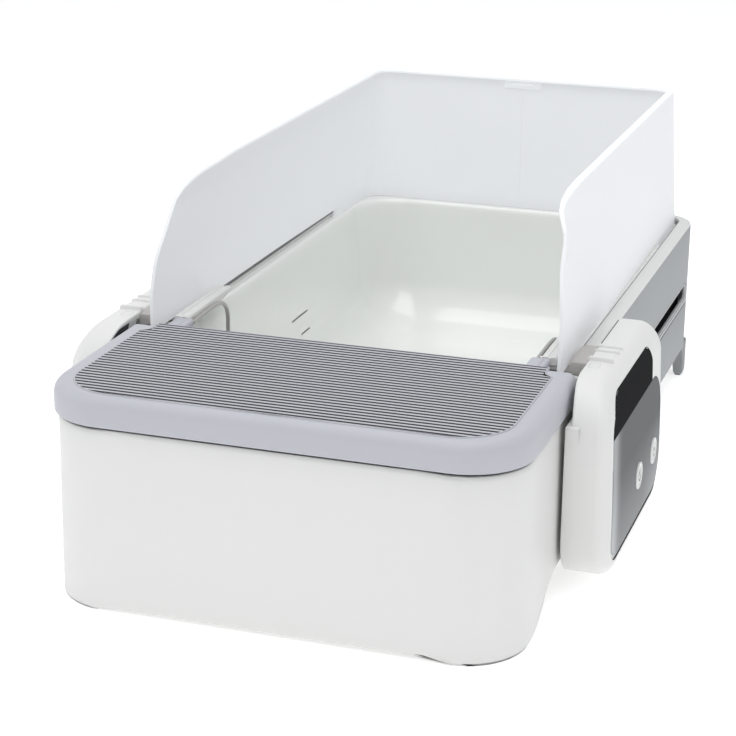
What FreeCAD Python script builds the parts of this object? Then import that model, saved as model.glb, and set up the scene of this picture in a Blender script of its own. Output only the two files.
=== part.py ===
import FreeCAD, Part
import math
import os
import re
import Sketcher

# A self-cleaning litter box: a base with a glossy litter tray, a front waste housing under a
# ribbed step lid, a clear guard in two halves, and a carriage of two side pods that runs along
# slotted rails and draws a wire rake through the tray.
# Frame: X to the object's right as seen from the front, Y to the rear, Z up, origin on the
# floor under the middle of the base. Every length is in millimetres.

os.makedirs("parts", exist_ok=True)
doc = FreeCAD.newDocument("LitterBox")

SIZES = {
    # base
    "base_depth": 787,
    "base_width": 390,
    "base_height": 171,
    "base_under": 22,
    "base_corner": 42,
    "chassis_inset": 11,
    "chassis_wall": 6,
    "chassis_floor": 3,
    "chassis_front": 201,
    "rear_wall": 7,
    "tray_ledge": 165,
    "foot_front": 72,
    "foot_rear": 17,
    "foot_width": 45,
    "foot_pad": 1.5,
    "socket_place": -120,
    "socket_height": 60,
    "socket_radius": 6,
    # rails, side panels and racks
    "cap_thick": 3,
    "cap_wide": 14,
    "web_thick": 2.5,
    "panel_thick": 2.5,
    "panel_low": 37,
    "slot_low": 97,
    "slot_tall": 14,
    "slot_front": 214,
    "slot_margin": 51,
    "lip_tall": 8,
    "lip_deep": 0.8,
    "rack_thick": 5,
    "rack_back": 8,
    "rack_front": 262,
    "gear_module": 1.25,
    "pinion_teeth": 13,
    "pinion_thick": 4.2,
    "rack_teeth": 108,
    "backlash": 0.2,
    "pinion_inset": 8,
    # litter tray
    "tray_inset": 23,
    "tray_wall": 2.5,
    "tray_lean": 8,
    "tray_margin": 22,
    "tray_round": 50,
    "tray_corner": 38,
    "tray_rim": 3,
    # front housing and waste bin
    "housing_over": 3,
    "housing_front": 4,
    "housing_rear": 199,
    "housing_top": 157.5,
    "housing_wall": 3,
    "housing_corner": 53,
    "housing_deck": 33,
    "arch_front": 78,
    "arch_back": 140,
    "arch_tall": 29,
    "foot_step": 3,
    "foot_inset": 50,
    "upstand_inset": 7.5,
    "upstand_front": 62,
    "upstand_rear": 188,
    "bin_gap": 3,
    "bin_wall": 2,
    "bin_top": 150,
    # lid
    "lid_over": 5,
    "lid_depth": 198,
    "lid_low": 160,
    "lid_top": 185,
    "lid_wall": 2.5,
    "lid_corner": 56,
    "lid_edge": 4,
    "notch_inset": 20.5,
    "lid_notch": 9,
    "tab_wide": 17.5,
    "tab_gap": 5,
    "tab_reach": 25,
    "tab_thick": 8,
    "mat_inset": 17,
    "mat_front": 9,
    "mat_rear": 171,
    "mat_step": 8,
    "mat_back": 193,
    "mat_base": 1.2,
    "rib_pitch": 6.2,
    "rib_wide": 3.9,
    "rib_tall": 0.9,
    "hinge_back": 3.3,
    "hinge_height": 161.3,
    "hinge_inset": 85,
    "hinge_knuckle": 20,
    "knuckle_radius": 1.9,
    "hinge_pin": 1.0,
    # guard
    "guard_top": 312,
    "guard_foot": 177.5,
    "guard_inset": 15,
    "guard_lean": 12.5,
    "guard_wall": 3,
    "guard_lip": 5,
    "guard_lip_tall": 3,
    "guard_margin": 8,
    "guard_corner": 24,
    "guard_front": 197,
    "guard_leg": 14,
    "clip_width": 40,
    "clip_tall": 9,
    "clip_thick": 2.5,
    # carriage
    "pod_gap": 6.5,
    "pod_thick": 39.5,
    "pod_front": 140,
    "pod_rear": 368,
    "pod_low": 22,
    "pod_top": 192,
    "pod_corner": 40,
    "pod_edge": 6,
    "pod_wall": 3,
    "pod_side": 5,
    "pod_step": 4.5,
    "pod_step_low": 156,
    "cover_thick": 2.5,
    "face_front": 158,
    "face_rear": 353,
    "face_low": 38,
    "face_split": 141,
    "face_top": 180,
    "face_deep": 1.6,
    "face_edge": 0.8,
    "face_proud": 0.8,
    "face_corner": 26,
    "button_radius": 12.2,
    "button_first": 261,
    "button_second": 325,
    "button_height": 75,
    "button_tall": 7,
    "button_travel": 1.2,
    "board_place": 229,
    "board_thick": 1.6,
    "switch_tall": 2.2,
    "button_proud": 1.6,
    "drive_place": 280,
    "shaft_radius": 2.5,
    "shaft_reach": 26,
    "shoe_length": 16,
    "shoe_first": 236,
    "shoe_second": 324,
    "bridge_front": 216,
    "bridge_rear": 266,
    "bridge_inset": 10,
    "bridge_top": 190,
    "bridge_low": 174.8,
    "plate_thick": 2.2,
    "carrier_wide": 13,
    "carrier_inset": 22,
    "carrier_front": 226,
    "carrier_rear": 330,
    "carrier_top": 184.5,
    "catch_inset": 30,
    "catch_deep": 1.5,
    "catch_front": 214,
    "catch_rear": 262,
    "catch_width": 16,
    "catch_travel": 6,
    # rake
    "axis_back": 309,
    "axis_height": 136,
    "arm_inset": 4,
    "arm_radius": 2.1,
    "arm_root": 232,
    "arm_height": 180,
    "arm_bend": 26,
    "eye_radius": 6,
    "eye_thick": 5,
    "rake_radius": 3,
    "tine_length": 99,
    "tine_radius": 1.25,
    "tine_gap": 2.6,
    "tine_margin": 16,
    "tine_count": 15,
    "tine_short": 14,
    "home_tilt": 24,
    # clearances
    "face_gap": 0.3,
    "slide_gap": 0.8,
    "running_gap": 0.05,
    "sweep_gap": 5.5,
}

# Places that follow from the sizes: half widths from the middle, and depths from the front
PLACES = {
    "chassis_half": "(base_width / 2 - chassis_inset)",
    "cap_inner": "(base_width / 2 - cap_wide)",
    "slot_rear": "(base_depth - slot_margin)",
    "tray_half": "(base_width / 2 - tray_inset)",
    "tray_back": "(base_depth - tray_margin)",
    "pinion_inner": "(base_width / 2 - pinion_inset)",
    "housing_half": "(base_width / 2 + housing_over)",
    "foot_inner": "(housing_half - foot_inset)",
    "upstand_inner": "(housing_half - upstand_inset)",
    "lid_half": "(base_width / 2 + lid_over)",
    "lid_notch_half": "(base_width / 2 - notch_inset)",
    "tab_outer": "(lid_notch_half - tab_gap)",
    "tab_inner": "(tab_outer - tab_wide)",
    "mat_half": "(lid_half - mat_inset)",
    "mat_tail_half": "(mat_half - mat_step)",
    "hinge_place": "(lid_half - hinge_inset)",
    "guard_low_half": "(base_width / 2 - guard_inset)",
    "guard_top_half": "(guard_low_half - guard_lean)",
    "guard_back": "(base_depth - guard_margin)",
    "pod_inner": "(base_width / 2 + pod_gap)",
    "pod_outer": "(pod_inner + pod_thick)",
    "bridge_inner": "(base_width / 2 - bridge_inset)",
    "carrier_outer": "(base_width / 2 - carrier_inset)",
    "carrier_inner": "(carrier_outer - carrier_wide)",
    "catch_inner": "(pod_outer - catch_inset)",
    "arm_place": "(carrier_inner - arm_inset)",
    "tine_pitch": "(2 * (arm_place - tine_margin) / (tine_count - 1))",
}

sheet = doc.addObject("Spreadsheet::Sheet", "Sizes")
for row, (alias, value) in enumerate(SIZES.items(), 1):
    sheet.set(f"A{row}", alias)
    sheet.set(f"B{row}", str(value))
    sheet.setAlias(f"B{row}", alias)
doc.recompute()

WORDS = re.compile(r"\b(" + "|".join(sorted(SIZES, key=len, reverse=True)) + r")\b")
PLACE_WORDS = re.compile(r"\b(" + "|".join(sorted(PLACES, key=len, reverse=True)) + r")\b")
FRONT = "(-base_depth / 2)"


def bound(expression):
    """The expression with its places spelled out and each size written as a cell of the sheet."""
    text = str(expression)
    while PLACE_WORDS.search(text):
        text = PLACE_WORDS.sub(lambda found: PLACES[found.group(1)], text)
    return WORDS.sub(r"Sizes.\1", text)


def num(expression):
    """The value of an expression of sizes."""
    value = sheet.evalExpression(bound(expression))
    return float(getattr(value, "Value", value))


def back(expression):
    """A place along Y, measured back from the lid's front face."""
    return f"({FRONT} + ({expression}))"


def across(side, low, high):
    """A span along X: as given on the right (side 1), mirrored on the left (side -1)."""
    if side > 0:
        return f"({low})", f"({high})"
    return f"(-({high}))", f"(-({low}))"


def side_name(side):
    return "right" if side > 0 else "left"


# How sketches lie on their planes: the role of the plane, and the sign of its normal along
# the world axis that it faces.
PLANES = {"XY": ("XY_Plane", 1), "XZ": ("XZ_Plane", -1), "YZ": ("YZ_Plane", 1)}


class Piece:
    """One PartDesign body, built up by slabs, cuts and fillets."""

    def __init__(self, name):
        self.body = doc.addObject("PartDesign::Body", name)
        self.body.Label = name
        self.count = 0

    def name(self, word):
        self.count += 1
        return f"{self.body.Name}_{word}_{self.count}"

    def sketch(self, plane, offset):
        role, _ = PLANES[plane]
        sketch = self.body.newObject("Sketcher::SketchObject", self.name("sketch"))
        support = next(o for o in self.body.Origin.OriginFeatures if o.Role == role)
        sketch.AttachmentSupport = [(support, "")]
        sketch.MapMode = "FlatFace"
        sketch.setExpression("AttachmentOffset.Base.z", bound(offset))
        return sketch

    def polygon(self, plane, offset, points):
        """A closed outline whose corners are all held by sizes."""
        sketch = self.sketch(plane, offset)
        corners = [FreeCAD.Vector(num(u), num(v), 0) for u, v in points]
        total = len(corners)
        for i in range(total):
            sketch.addGeometry(Part.LineSegment(corners[i], corners[(i + 1) % total]))
        for i in range(total):
            sketch.addConstraint(Sketcher.Constraint("Coincident", i, 2, (i + 1) % total, 1))
        for i, (u, v) in enumerate(points):
            self.hold(sketch, "DistanceX", i, 1, u, corners[i].x)
            self.hold(sketch, "DistanceY", i, 1, v, corners[i].y)
        return sketch

    def circle(self, plane, offset, centre, radius):
        sketch = self.sketch(plane, offset)
        middle = FreeCAD.Vector(num(centre[0]), num(centre[1]), 0)
        circle = Part.Circle(middle, FreeCAD.Vector(0, 0, 1), num(radius))
        sketch.addGeometry(circle)
        self.hold(sketch, "DistanceX", 0, 3, centre[0], middle.x)
        self.hold(sketch, "DistanceY", 0, 3, centre[1], middle.y)
        index = sketch.addConstraint(Sketcher.Constraint("Radius", 0, num(radius)))
        sketch.setExpression(f"Constraints[{index}]", bound(radius))
        return sketch

    def hold(self, sketch, kind, edge, end, expression, value):
        index = sketch.addConstraint(Sketcher.Constraint(kind, -1, 1, edge, end, value))
        sketch.setExpression(f"Constraints[{index}]", bound(expression))

    def outline(self, plane, offset, shape):
        if shape[0] == "circle":
            return self.circle(plane, offset, shape[1], shape[2])
        return self.polygon(plane, offset, shape)

    def feature(self, kind, sketch, length, grows):
        before = self.body.Shape.Volume if self.body.Tip else 0
        feature = self.body.newObject(kind, self.name("cut" if "Pocket" in kind else "slab"))
        feature.Profile = sketch
        feature.setExpression("Length", bound(length))
        doc.recompute()
        change = self.body.Shape.Volume - before
        if (change > 0) != grows or abs(change) < 1e-6:
            raise ValueError(f"{feature.Name} changed the volume by {change:.3f}")
        return feature

    def slab(self, plane, shape, low, high):
        """Material between two places on the axis that the plane faces."""
        start = low if PLANES[plane][1] > 0 else f"-({high})"
        sketch = self.outline(plane, start, shape)
        return self.feature("PartDesign::Pad", sketch, f"({high}) - ({low})", True)

    def cut(self, plane, shape, low, high):
        """A cut between two places on the axis that the plane faces."""
        start = high if PLANES[plane][1] > 0 else f"-({low})"
        sketch = self.outline(plane, start, shape)
        return self.feature("PartDesign::Pocket", sketch, f"({high}) - ({low})", False)

    def row(self, features, sketch_axis, length, count):
        """Repeats features along an axis of the first one's sketch."""
        pattern = self.body.newObject("PartDesign::LinearPattern", self.name("row"))
        pattern.Originals = features
        pattern.Direction = (features[0].Profile[0], [sketch_axis])
        pattern.setExpression("Length", bound(length))
        pattern.Occurrences = count
        self.body.Tip = pattern
        doc.recompute()
        return pattern

    def edges(self, wanted):
        found = []
        for number, edge in enumerate(self.body.Shape.Edges, 1):
            ends = [v.Point for v in edge.Vertexes]
            if wanted(edge, ends):
                found.append(f"Edge{number}")
        if not found:
            raise ValueError(f"{self.body.Name}: no edge found")
        return found

    def round(self, wanted, radius, kind="Fillet"):
        base = self.body.Tip
        names = self.edges(wanted)
        feature = self.body.newObject("PartDesign::" + kind, self.name(kind.lower()))
        feature.Base = (base, names)
        feature.setExpression("Radius" if kind == "Fillet" else "Size", bound(radius))
        doc.recompute()
        return feature


def box(x, y):
    """A rectangle from two spans."""
    return [(x[0], y[0]), (x[1], y[0]), (x[1], y[1]), (x[0], y[1])]


def rounded(x, y, radius, corners="low high"):
    """A rectangle whose corners, on the low or high side of y, follow arcs in short steps."""
    outline = []
    turns = [("low", x[0], 1, y[0], 1, 180), ("low", x[1], -1, y[0], 1, 270),
             ("high", x[1], -1, y[1], -1, 0), ("high", x[0], 1, y[1], -1, 90)]
    for side, u, inward_u, v, inward_v, start in turns:
        if side not in corners:
            outline.append((u, v))
            continue
        for step in range(7):
            angle = math.radians(start + 15 * step)
            outline.append((f"{u} + {radius} * {inward_u + math.cos(angle):.6f}",
                            f"{v} + {radius} * {inward_v + math.sin(angle):.6f}"))
    return outline


def near(value, expression, slack=0.02):
    return abs(value - num(expression)) < slack


def along(axis, **places):
    """Picks straight edges along an axis that lie at the given places (lists of expressions)."""
    index = "xyz".index(axis)

    def wanted(edge, ends):
        if len(ends) != 2 or edge.Curve.TypeId != "Part::GeomLine":
            return False
        step = ends[1] - ends[0]
        if abs(abs(step[index]) - step.Length) > 1e-6:
            return False
        for name, values in places.items():
            spot = ends[0]["xyz".index(name)]
            if not any(near(spot, v) for v in values):
                return False
        return True

    return wanted


def in_plane(axis, expression):
    """Picks every edge that lies in one plane."""
    index = "xyz".index(axis)

    def wanted(edge, ends):
        low = edge.BoundBox.getPoint(0)[index]
        high = edge.BoundBox.getPoint(6)[index]
        return near(low, expression) and near(high, expression)

    return wanted


pieces = {}


def keep(name, thing):
    pieces[name] = thing
    return thing


# Base: chassis, feet, rails, panels and racks

SWING = "(tine_length + sweep_gap)"
TRAY_FLOOR = f"(axis_height - {SWING})"
LEDGE_ROUND = "(guard_corner + 1)"
GEAR_HEIGHT = "(slot_low + slot_tall / 2)"
PITCH_RADIUS = "(gear_module * pinion_teeth / 2)"
RACK_LOW = f"({GEAR_HEIGHT} - {PITCH_RADIUS} - 1.25 * gear_module - rack_back)"


def chassis():
    """Tub that carries tray, rails and rear wall, with its two rear feet."""
    p = Piece("chassis")
    wide = "(base_width / 2)"
    inner = "(chassis_half - chassis_wall)"
    step = back("base_depth - base_corner")
    end = back("base_depth")
    front = back("chassis_front")
    p.slab("XY", box(("-chassis_half", "chassis_half"), (front, end)), "base_under", "base_height")
    p.slab("XY", box((f"-{wide}", wide), (step, end)), "panel_low", "base_height")
    p.round(along("z", x=[wide, f"-{wide}"], y=[end]), "base_corner - 0.5")
    for side in (1, -1):
        foot = across(side, f"{wide} - foot_width", f"{wide} - panel_thick")
        y = (back("base_depth - foot_front"), back("base_depth - foot_rear"))
        p.slab("YZ", [(f"{y[0]} + 8", "foot_pad"), (f"{y[1]} - 4", "foot_pad"), (y[1], "panel_low + 1"),
                      (y[0], "panel_low + 1")], *foot)
    well = (back("chassis_front + chassis_wall / 2"), back("base_depth - rear_wall - chassis_wall"))
    p.cut("XY", box((f"-{inner}", inner), well), "base_under + chassis_floor", "base_height")
    p.cut("XY", rounded(("-cap_inner", "cap_inner"), (front, back("base_depth - rear_wall")), LEDGE_ROUND, "high"),
          "tray_ledge", "base_height")
    p.cut("XY", box((f"-{inner}", inner), (back("chassis_front - 1"), well[0])),
          "tray_ledge - 60", "tray_ledge")
    p.cut("XZ", ("circle", ("socket_place", "socket_height"), "socket_radius + face_gap / 2"),
          back("base_depth - rear_wall - chassis_wall - 1"), back("base_depth + 1"))
    return keep("chassis", p)


def foot_pads():
    """Soft pads: two under the rear feet, two under the housing's front corners."""
    p = Piece("foot_pads")
    for side in (1, -1):
        x = across(side, "base_width / 2 - foot_width + 6", "base_width / 2 - 14")
        y = (back("base_depth - foot_front + 10"), back("base_depth - foot_rear - 6"))
        p.slab("XY", box(x, y), "0", "foot_pad")
    return keep("foot_pads", p)


def dc_socket():
    """Round low-voltage inlet in the rear wall, with its centre pin."""
    p = Piece("dc_socket")
    centre = ("socket_place", "socket_height")
    rear = back("base_depth")
    p.slab("XZ", ("circle", centre, "socket_radius"),
           back("base_depth - rear_wall - chassis_wall - 4"), rear)
    p.cut("XZ", ("circle", centre, "socket_radius / 2"), back("base_depth - 10"), rear)
    p.slab("XZ", ("circle", centre, "socket_radius / 6"), back("base_depth - 11"), back("base_depth - 2"))
    return keep("dc_socket", p)


def rail(side):
    """White cap strip that turns the rear corner, with the web and shelf that hold the rack."""
    p = Piece(f"rail_{side_name(side)}")
    s = "" if side > 0 else "-"
    wide = f"{s}(base_width / 2)"
    inner = f"{s}cap_inner"
    seam = f"{s}(face_gap / 2)"
    wall = back("base_depth - rear_wall")
    end = back("base_depth")
    front = back("chassis_front")
    p.slab("XY", [(inner, front), (wide, front), (wide, end), (seam, end), (seam, wall), (inner, wall)],
           "base_height", "base_height + cap_thick")
    p.round(along("z", x=[inner], y=[wall]), LEDGE_ROUND)
    p.round(along("z", x=[wide], y=[end]), "base_corner")
    y = (front, back("base_depth - base_corner"))
    web = across(side, "chassis_half", "chassis_half + web_thick")
    shelf = across(side, "chassis_half", "base_width / 2 - panel_thick")
    p.slab("XZ", box(web, (f"{RACK_LOW} - web_thick", "base_height")), *y)
    p.slab("XZ", box(shelf, (f"{RACK_LOW} - web_thick", RACK_LOW)), *y)
    return keep(p.body.Name, p)


def side_panel(side):
    """Silver-grey panel with the long slot in which the carriage's shoes run."""
    p = Piece(f"side_panel_{side_name(side)}")
    x = across(side, "base_width / 2 - panel_thick", "base_width / 2")
    lip = across(side, "base_width / 2 - lip_deep", "base_width / 2")
    front = back("chassis_front")
    end = back("base_depth - base_corner")
    p.slab("YZ", box((front, end), ("panel_low", "base_height")), *x)
    p.cut("YZ", box((back("slot_front"), back("slot_rear")), ("slot_low", "slot_low + slot_tall")), *x)
    p.round(along("x", y=[back("slot_front"), back("slot_rear")],
                  z=["slot_low", "slot_low + slot_tall"]), "slot_tall / 2 - 0.2")
    p.cut("YZ", box((front, end), ("slot_low - lip_tall - 1", "slot_low - lip_tall")), *lip)
    return keep(p.body.Name, p)


def rack(side):
    """Straight rack with trapezoid teeth of 20 degree flanks."""
    name = f"rack_{side_name(side)}"
    module = num("gear_module")
    pitch = math.pi * module
    pitch_line = num(f"{GEAR_HEIGHT} - {PITCH_RADIUS}")
    root = pitch_line - 1.25 * module
    top = pitch_line + module
    lean = math.tan(math.radians(20))
    half = pitch / 4 - num("backlash") / 2
    low = num(RACK_LOW)
    before = round((num("drive_place") - num("rack_front")) / pitch)
    start = num(back("drive_place")) + pitch / 2 - before * pitch
    points = [(start - pitch / 2, low), (start - pitch / 2, root)]
    for i in range(int(num("rack_teeth"))):
        y = start + i * pitch
        points.append((y - half - 1.25 * module * lean, root))
        points.append((y - half + module * lean, top))
        points.append((y + half - module * lean, top))
        points.append((y + half + 1.25 * module * lean, root))
    end = start + (num("rack_teeth") - 0.5) * pitch
    points += [(end, root), (end, low)]
    x = num(across(side, "chassis_half + web_thick", "chassis_half + web_thick + rack_thick")[0])
    wire = Part.makePolygon([FreeCAD.Vector(x, y, z) for y, z in points + points[:1]])
    feature = doc.addObject("Part::Feature", name)
    feature.Shape = Part.Face(wire).extrude(FreeCAD.Vector(num("rack_thick"), 0, 0))
    return keep(name, feature)


# Litter tray

def arc(centre, radius, start, end, steps):
    """Points along an arc, from one angle to another in degrees."""
    points = []
    for i in range(steps + 1):
        angle = math.radians(start + (end - start) * i / steps)
        points.append((f"{centre[0]} + {radius} * {math.cos(angle):.6f}",
                       f"{centre[1]} + {radius} * {math.sin(angle):.6f}"))
    return points


def tray_block(name, grow, top):
    """Rounded block with leaning sides; its front wall is swept about the rake's axis."""
    low = f"({TRAY_FLOOR} - {grow})"
    half = f"(tray_half + {grow})"
    foot = f"({half} - tray_lean)"
    turn = f"(tray_round + {grow})"
    swing = f"({SWING} + {grow})"
    y0 = back(f"axis_back - {swing}")
    y1 = back(f"tray_back + {grow}")
    centre = (back("axis_back"), "axis_height")
    side = Piece(f"{name}_side")
    side.slab("YZ", arc(centre, swing, 180, 270, 9) + arc((f"{y1} - {turn}", f"{low} + {turn}"), turn, 270, 360, 6)
              + [(y1, top), (y0, top)], f"-{half}", half)
    cross = Piece(f"{name}_cross")
    right = arc((f"{foot} - {turn}", f"{low} + {turn}"), turn, 270, 354, 6)
    left = arc((f"-({foot} - {turn})", f"{low} + {turn}"), turn, 186, 270, 6)
    cross.slab("XZ", right + [(half, top), (f"-{half}", top)] + left, y0, y1)
    plan = Piece(f"{name}_plan")
    plan.slab("XY", rounded((f"-{half}", half), (y0, y1), f"(tray_corner + {grow})", "high"), low, top)
    block = doc.addObject("Part::MultiCommon", name)
    block.Shapes = [side.body, cross.body, plan.body]
    doc.recompute()
    return block


def litter_tray():
    """Glossy tray with a flat rim that rests on the chassis's ledge."""
    outside = tray_block("tray_outside", "tray_wall", "tray_ledge + tray_rim")
    hollow = tray_block("tray_hollow", "0", "tray_ledge + tray_rim + 1")
    flange = Piece("tray_flange")
    rim = "(cap_inner - face_gap)"
    rear = back("base_depth - rear_wall - face_gap")
    flange.slab("XY", rounded((f"-{rim}", rim), (back("chassis_front"), rear), LEDGE_ROUND, "high"),
                "tray_ledge", "tray_ledge + tray_rim")
    whole = doc.addObject("Part::MultiFuse", "tray_whole")
    whole.Shapes = [outside, flange.body]
    tray = doc.addObject("Part::Cut", "litter_tray")
    tray.Base = whole
    tray.Tool = hollow
    return keep("litter_tray", tray)


# Front housing, waste bin and the lid over them

HOUSING_WALL = ("(housing_half - housing_wall)", back("housing_front + housing_wall"),
                back("housing_rear - housing_wall"))


def front_housing():
    """Open-topped front shell on two shallow feet, with the lid's lugs and side upstands."""
    p = Piece("front_housing")
    half = "housing_half"
    front = back("housing_front")
    rear = back("housing_rear")
    inner, y0, y1 = HOUSING_WALL
    p.slab("XY", box((f"-{half}", half), (front, rear)), "0", "housing_top")
    p.cut("XY", box((f"-{inner}", inner), (y0, y1)), "housing_deck + housing_wall", "housing_top")
    p.cut("XY", box((f"-{inner}", inner), (y0, y1)), "0", "housing_deck")
    p.round(along("z", x=[inner, f"-{inner}"], y=[y0]), "housing_corner - housing_wall")
    p.round(along("z", x=[half, f"-{half}"], y=[front]), "housing_corner")
    p.cut("YZ", [(back("arch_front"), "0"), (back("arch_front + 3"), "3"), (back("arch_front + 10"), "9"),
                 (back("arch_front + 30"), "20"), (back("arch_back - 12"), "arch_tall - 2"),
                 (back("arch_back"), "arch_tall"), (rear, "arch_tall"), (rear, "0")],
          f"-{half}", half)
    p.cut("XY", box(("-foot_inner", "foot_inner"), (front, back("arch_front"))), "0", "foot_step")
    for side in (1, -1):
        x = across(side, "upstand_inner", "upstand_inner + housing_wall")
        p.slab("XY", box(x, (back("upstand_front"), back("upstand_rear"))),
               "housing_deck + housing_wall", "lid_top - lid_wall - face_gap")
        place = f"(hinge_place * {side})"
        lug = (f"{place} - hinge_knuckle / 4", f"{place} + hinge_knuckle / 4")
        root = back("housing_front + housing_wall + 2")
        p.slab("YZ", [(back("hinge_back"), "housing_top - 8"), (root, "housing_top - 8"), (root, "hinge_height"),
                      (back("hinge_back + 1"), "hinge_height + knuckle_radius - 0.2"),
                      (back("hinge_back"), "hinge_height")], *lug)
        p.slab("YZ", ("circle", (back("hinge_back"), "hinge_height"), "knuckle_radius"), *lug)
        p.cut("YZ", ("circle", (back("hinge_back"), "hinge_height"), "hinge_pin + running_gap"), *lug)
    return keep("front_housing", p)


def waste_bin():
    """Lift-out bin that stands on the housing's deck."""
    p = Piece("waste_bin")
    half = "(upstand_inner - bin_gap)"
    y0 = back("housing_front + housing_wall + 2 + bin_gap")
    y1 = back("housing_rear - housing_wall - bin_gap")
    low = "(housing_deck + housing_wall)"
    p.slab("XY", box((f"-{half}", half), (y0, y1)), low, "bin_top")
    p.cut("XY", box((f"-({half} - bin_wall)", f"{half} - bin_wall"),
                    (f"{y0} + bin_wall", f"{y1} - bin_wall")), f"{low} + bin_wall", "bin_top")
    p.round(along("z", x=[f"{half} - bin_wall", f"-({half} - bin_wall)"]), "housing_corner - 12")
    p.round(along("z", x=[half, f"-{half}"]), "housing_corner - 12 + bin_wall")
    return keep("waste_bin", p)


def lid_frame():
    """Hollow step lid with a recess for the ribbed mat, two rear tabs and corner notches."""
    p = Piece("lid_frame")
    half = "lid_half"
    front = back("0")
    rear = back("lid_depth")
    inner = "(lid_half - lid_wall)"
    y0 = back("lid_wall")
    y1 = back("lid_depth - lid_wall")
    p.slab("XY", rounded((f"-{half}", half), (front, rear), "lid_corner", "low"), "lid_low", "lid_top")
    p.round(in_plane("z", "lid_top"), "lid_edge", "Chamfer")
    p.cut("XY", rounded((f"-{inner}", inner), (y0, y1), "(lid_corner - lid_wall)", "low"),
          "lid_low", "lid_top - lid_wall")
    p.cut("XY", mat_outline("face_gap"), "lid_top - mat_base", "lid_top")
    for side in (1, -1):
        tab = across(side, "tab_inner", "tab_outer")
        p.slab("XY", box(tab, (back("lid_depth - lid_wall"), back("lid_depth + tab_reach"))),
               "lid_top - tab_thick", "lid_top - 0.5")
        notch = across(side, "lid_notch_half", "lid_half")
        p.cut("XY", box(notch, (back("lid_depth - lid_notch"), rear)), "lid_low", "lid_top")
        x = f"(hinge_place * {side})"
        wide = ("hinge_knuckle / 2", "(hinge_knuckle / 4 + face_gap)")
        gap = (f"{x} - {wide[1]}", f"{x} + {wide[1]}")
        p.cut("YZ", box((front, back("lid_wall")), ("lid_low", "hinge_height + knuckle_radius + 2")), *gap)
        for low, high in ((f"{x} - {wide[0]}", gap[0]), (gap[1], f"{x} + {wide[0]}")):
            p.slab("YZ", [(back("lid_wall - 1"), "lid_low"), (back("hinge_back"), "lid_low"),
                          (back("hinge_back + knuckle_radius"), "hinge_height"),
                          (back("hinge_back + knuckle_radius"), "lid_low + 8"),
                          (back("lid_wall - 1"), "lid_low + 8")], low, high)
            p.cut("YZ", ("circle", (back("hinge_back"), "hinge_height"), "hinge_pin"), low, high)
    return keep("lid_frame", p)


def mat_outline(grow):
    """Plan of the mat: a wide field with rounded front corners and a narrower rear strip."""
    half = f"(mat_half + {grow})"
    tail = f"(mat_tail_half + {grow})"
    y0 = back(f"mat_front - {grow}")
    y1 = back("mat_rear")
    y2 = back(f"mat_back + {grow}")
    c = "(lid_corner - 22)"
    return [(f"-{half}", f"{y0} + {c}"), (f"-({half} - {c} * 0.293)", f"{y0} + {c} * 0.293"),
            (f"-({half} - {c})", y0), (f"{half} - {c}", y0),
            (f"{half} - {c} * 0.293", f"{y0} + {c} * 0.293"), (half, f"{y0} + {c}"),
            (half, y1), (tail, f"{y1} + 6"), (tail, y2), (f"-{tail}", y2), (f"-{tail}", f"{y1} + 6"),
            (f"-{half}", y1)]


def step_mat():
    """Soft mat with ribs across the lid."""
    p = Piece("step_mat")
    p.slab("XY", mat_outline("0"), "lid_top - mat_base", "lid_top")
    tail = int(num("(mat_back - mat_rear) / rib_pitch"))
    field = int(num("(mat_rear - mat_front - lid_corner + 22) / rib_pitch"))
    last = "(mat_back - 3)"
    for first, count, half in ((0, tail, "mat_tail_half - 1"), (tail, field, "mat_half - 1")):
        y = back(f"{last} - {first} * rib_pitch")
        rib = p.slab("XY", box((f"-({half})", half), (f"{y} - rib_wide", y)), "lid_top", "lid_top + rib_tall")
        rib.Profile[0].Visibility = False
        row = p.row([rib], "V_Axis", f"{count - 1} * rib_pitch", count)
        row.Reversed = True
    for i, trim in enumerate((3, 7, 12, 20, 31)):
        y = back(f"{last} - {tail + field + i} * rib_pitch")
        ends = (f"-(mat_half - {trim})", f"mat_half - {trim}")
        p.slab("XY", box(ends, (f"{y} - rib_wide", y)), "lid_top", "lid_top + rib_tall")
    return keep("step_mat", p)


def lid_hinge_pins():
    p = Piece("lid_hinge_pins")
    for side in (1, -1):
        x = f"(hinge_place * {side})"
        p.slab("YZ", ("circle", (back("hinge_back"), "hinge_height"), "hinge_pin"),
               f"{x} - hinge_knuckle / 2", f"{x} + hinge_knuckle / 2")
    return keep("lid_hinge_pins", p)


# Guard: two frosted halves and the clip that joins them

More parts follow.
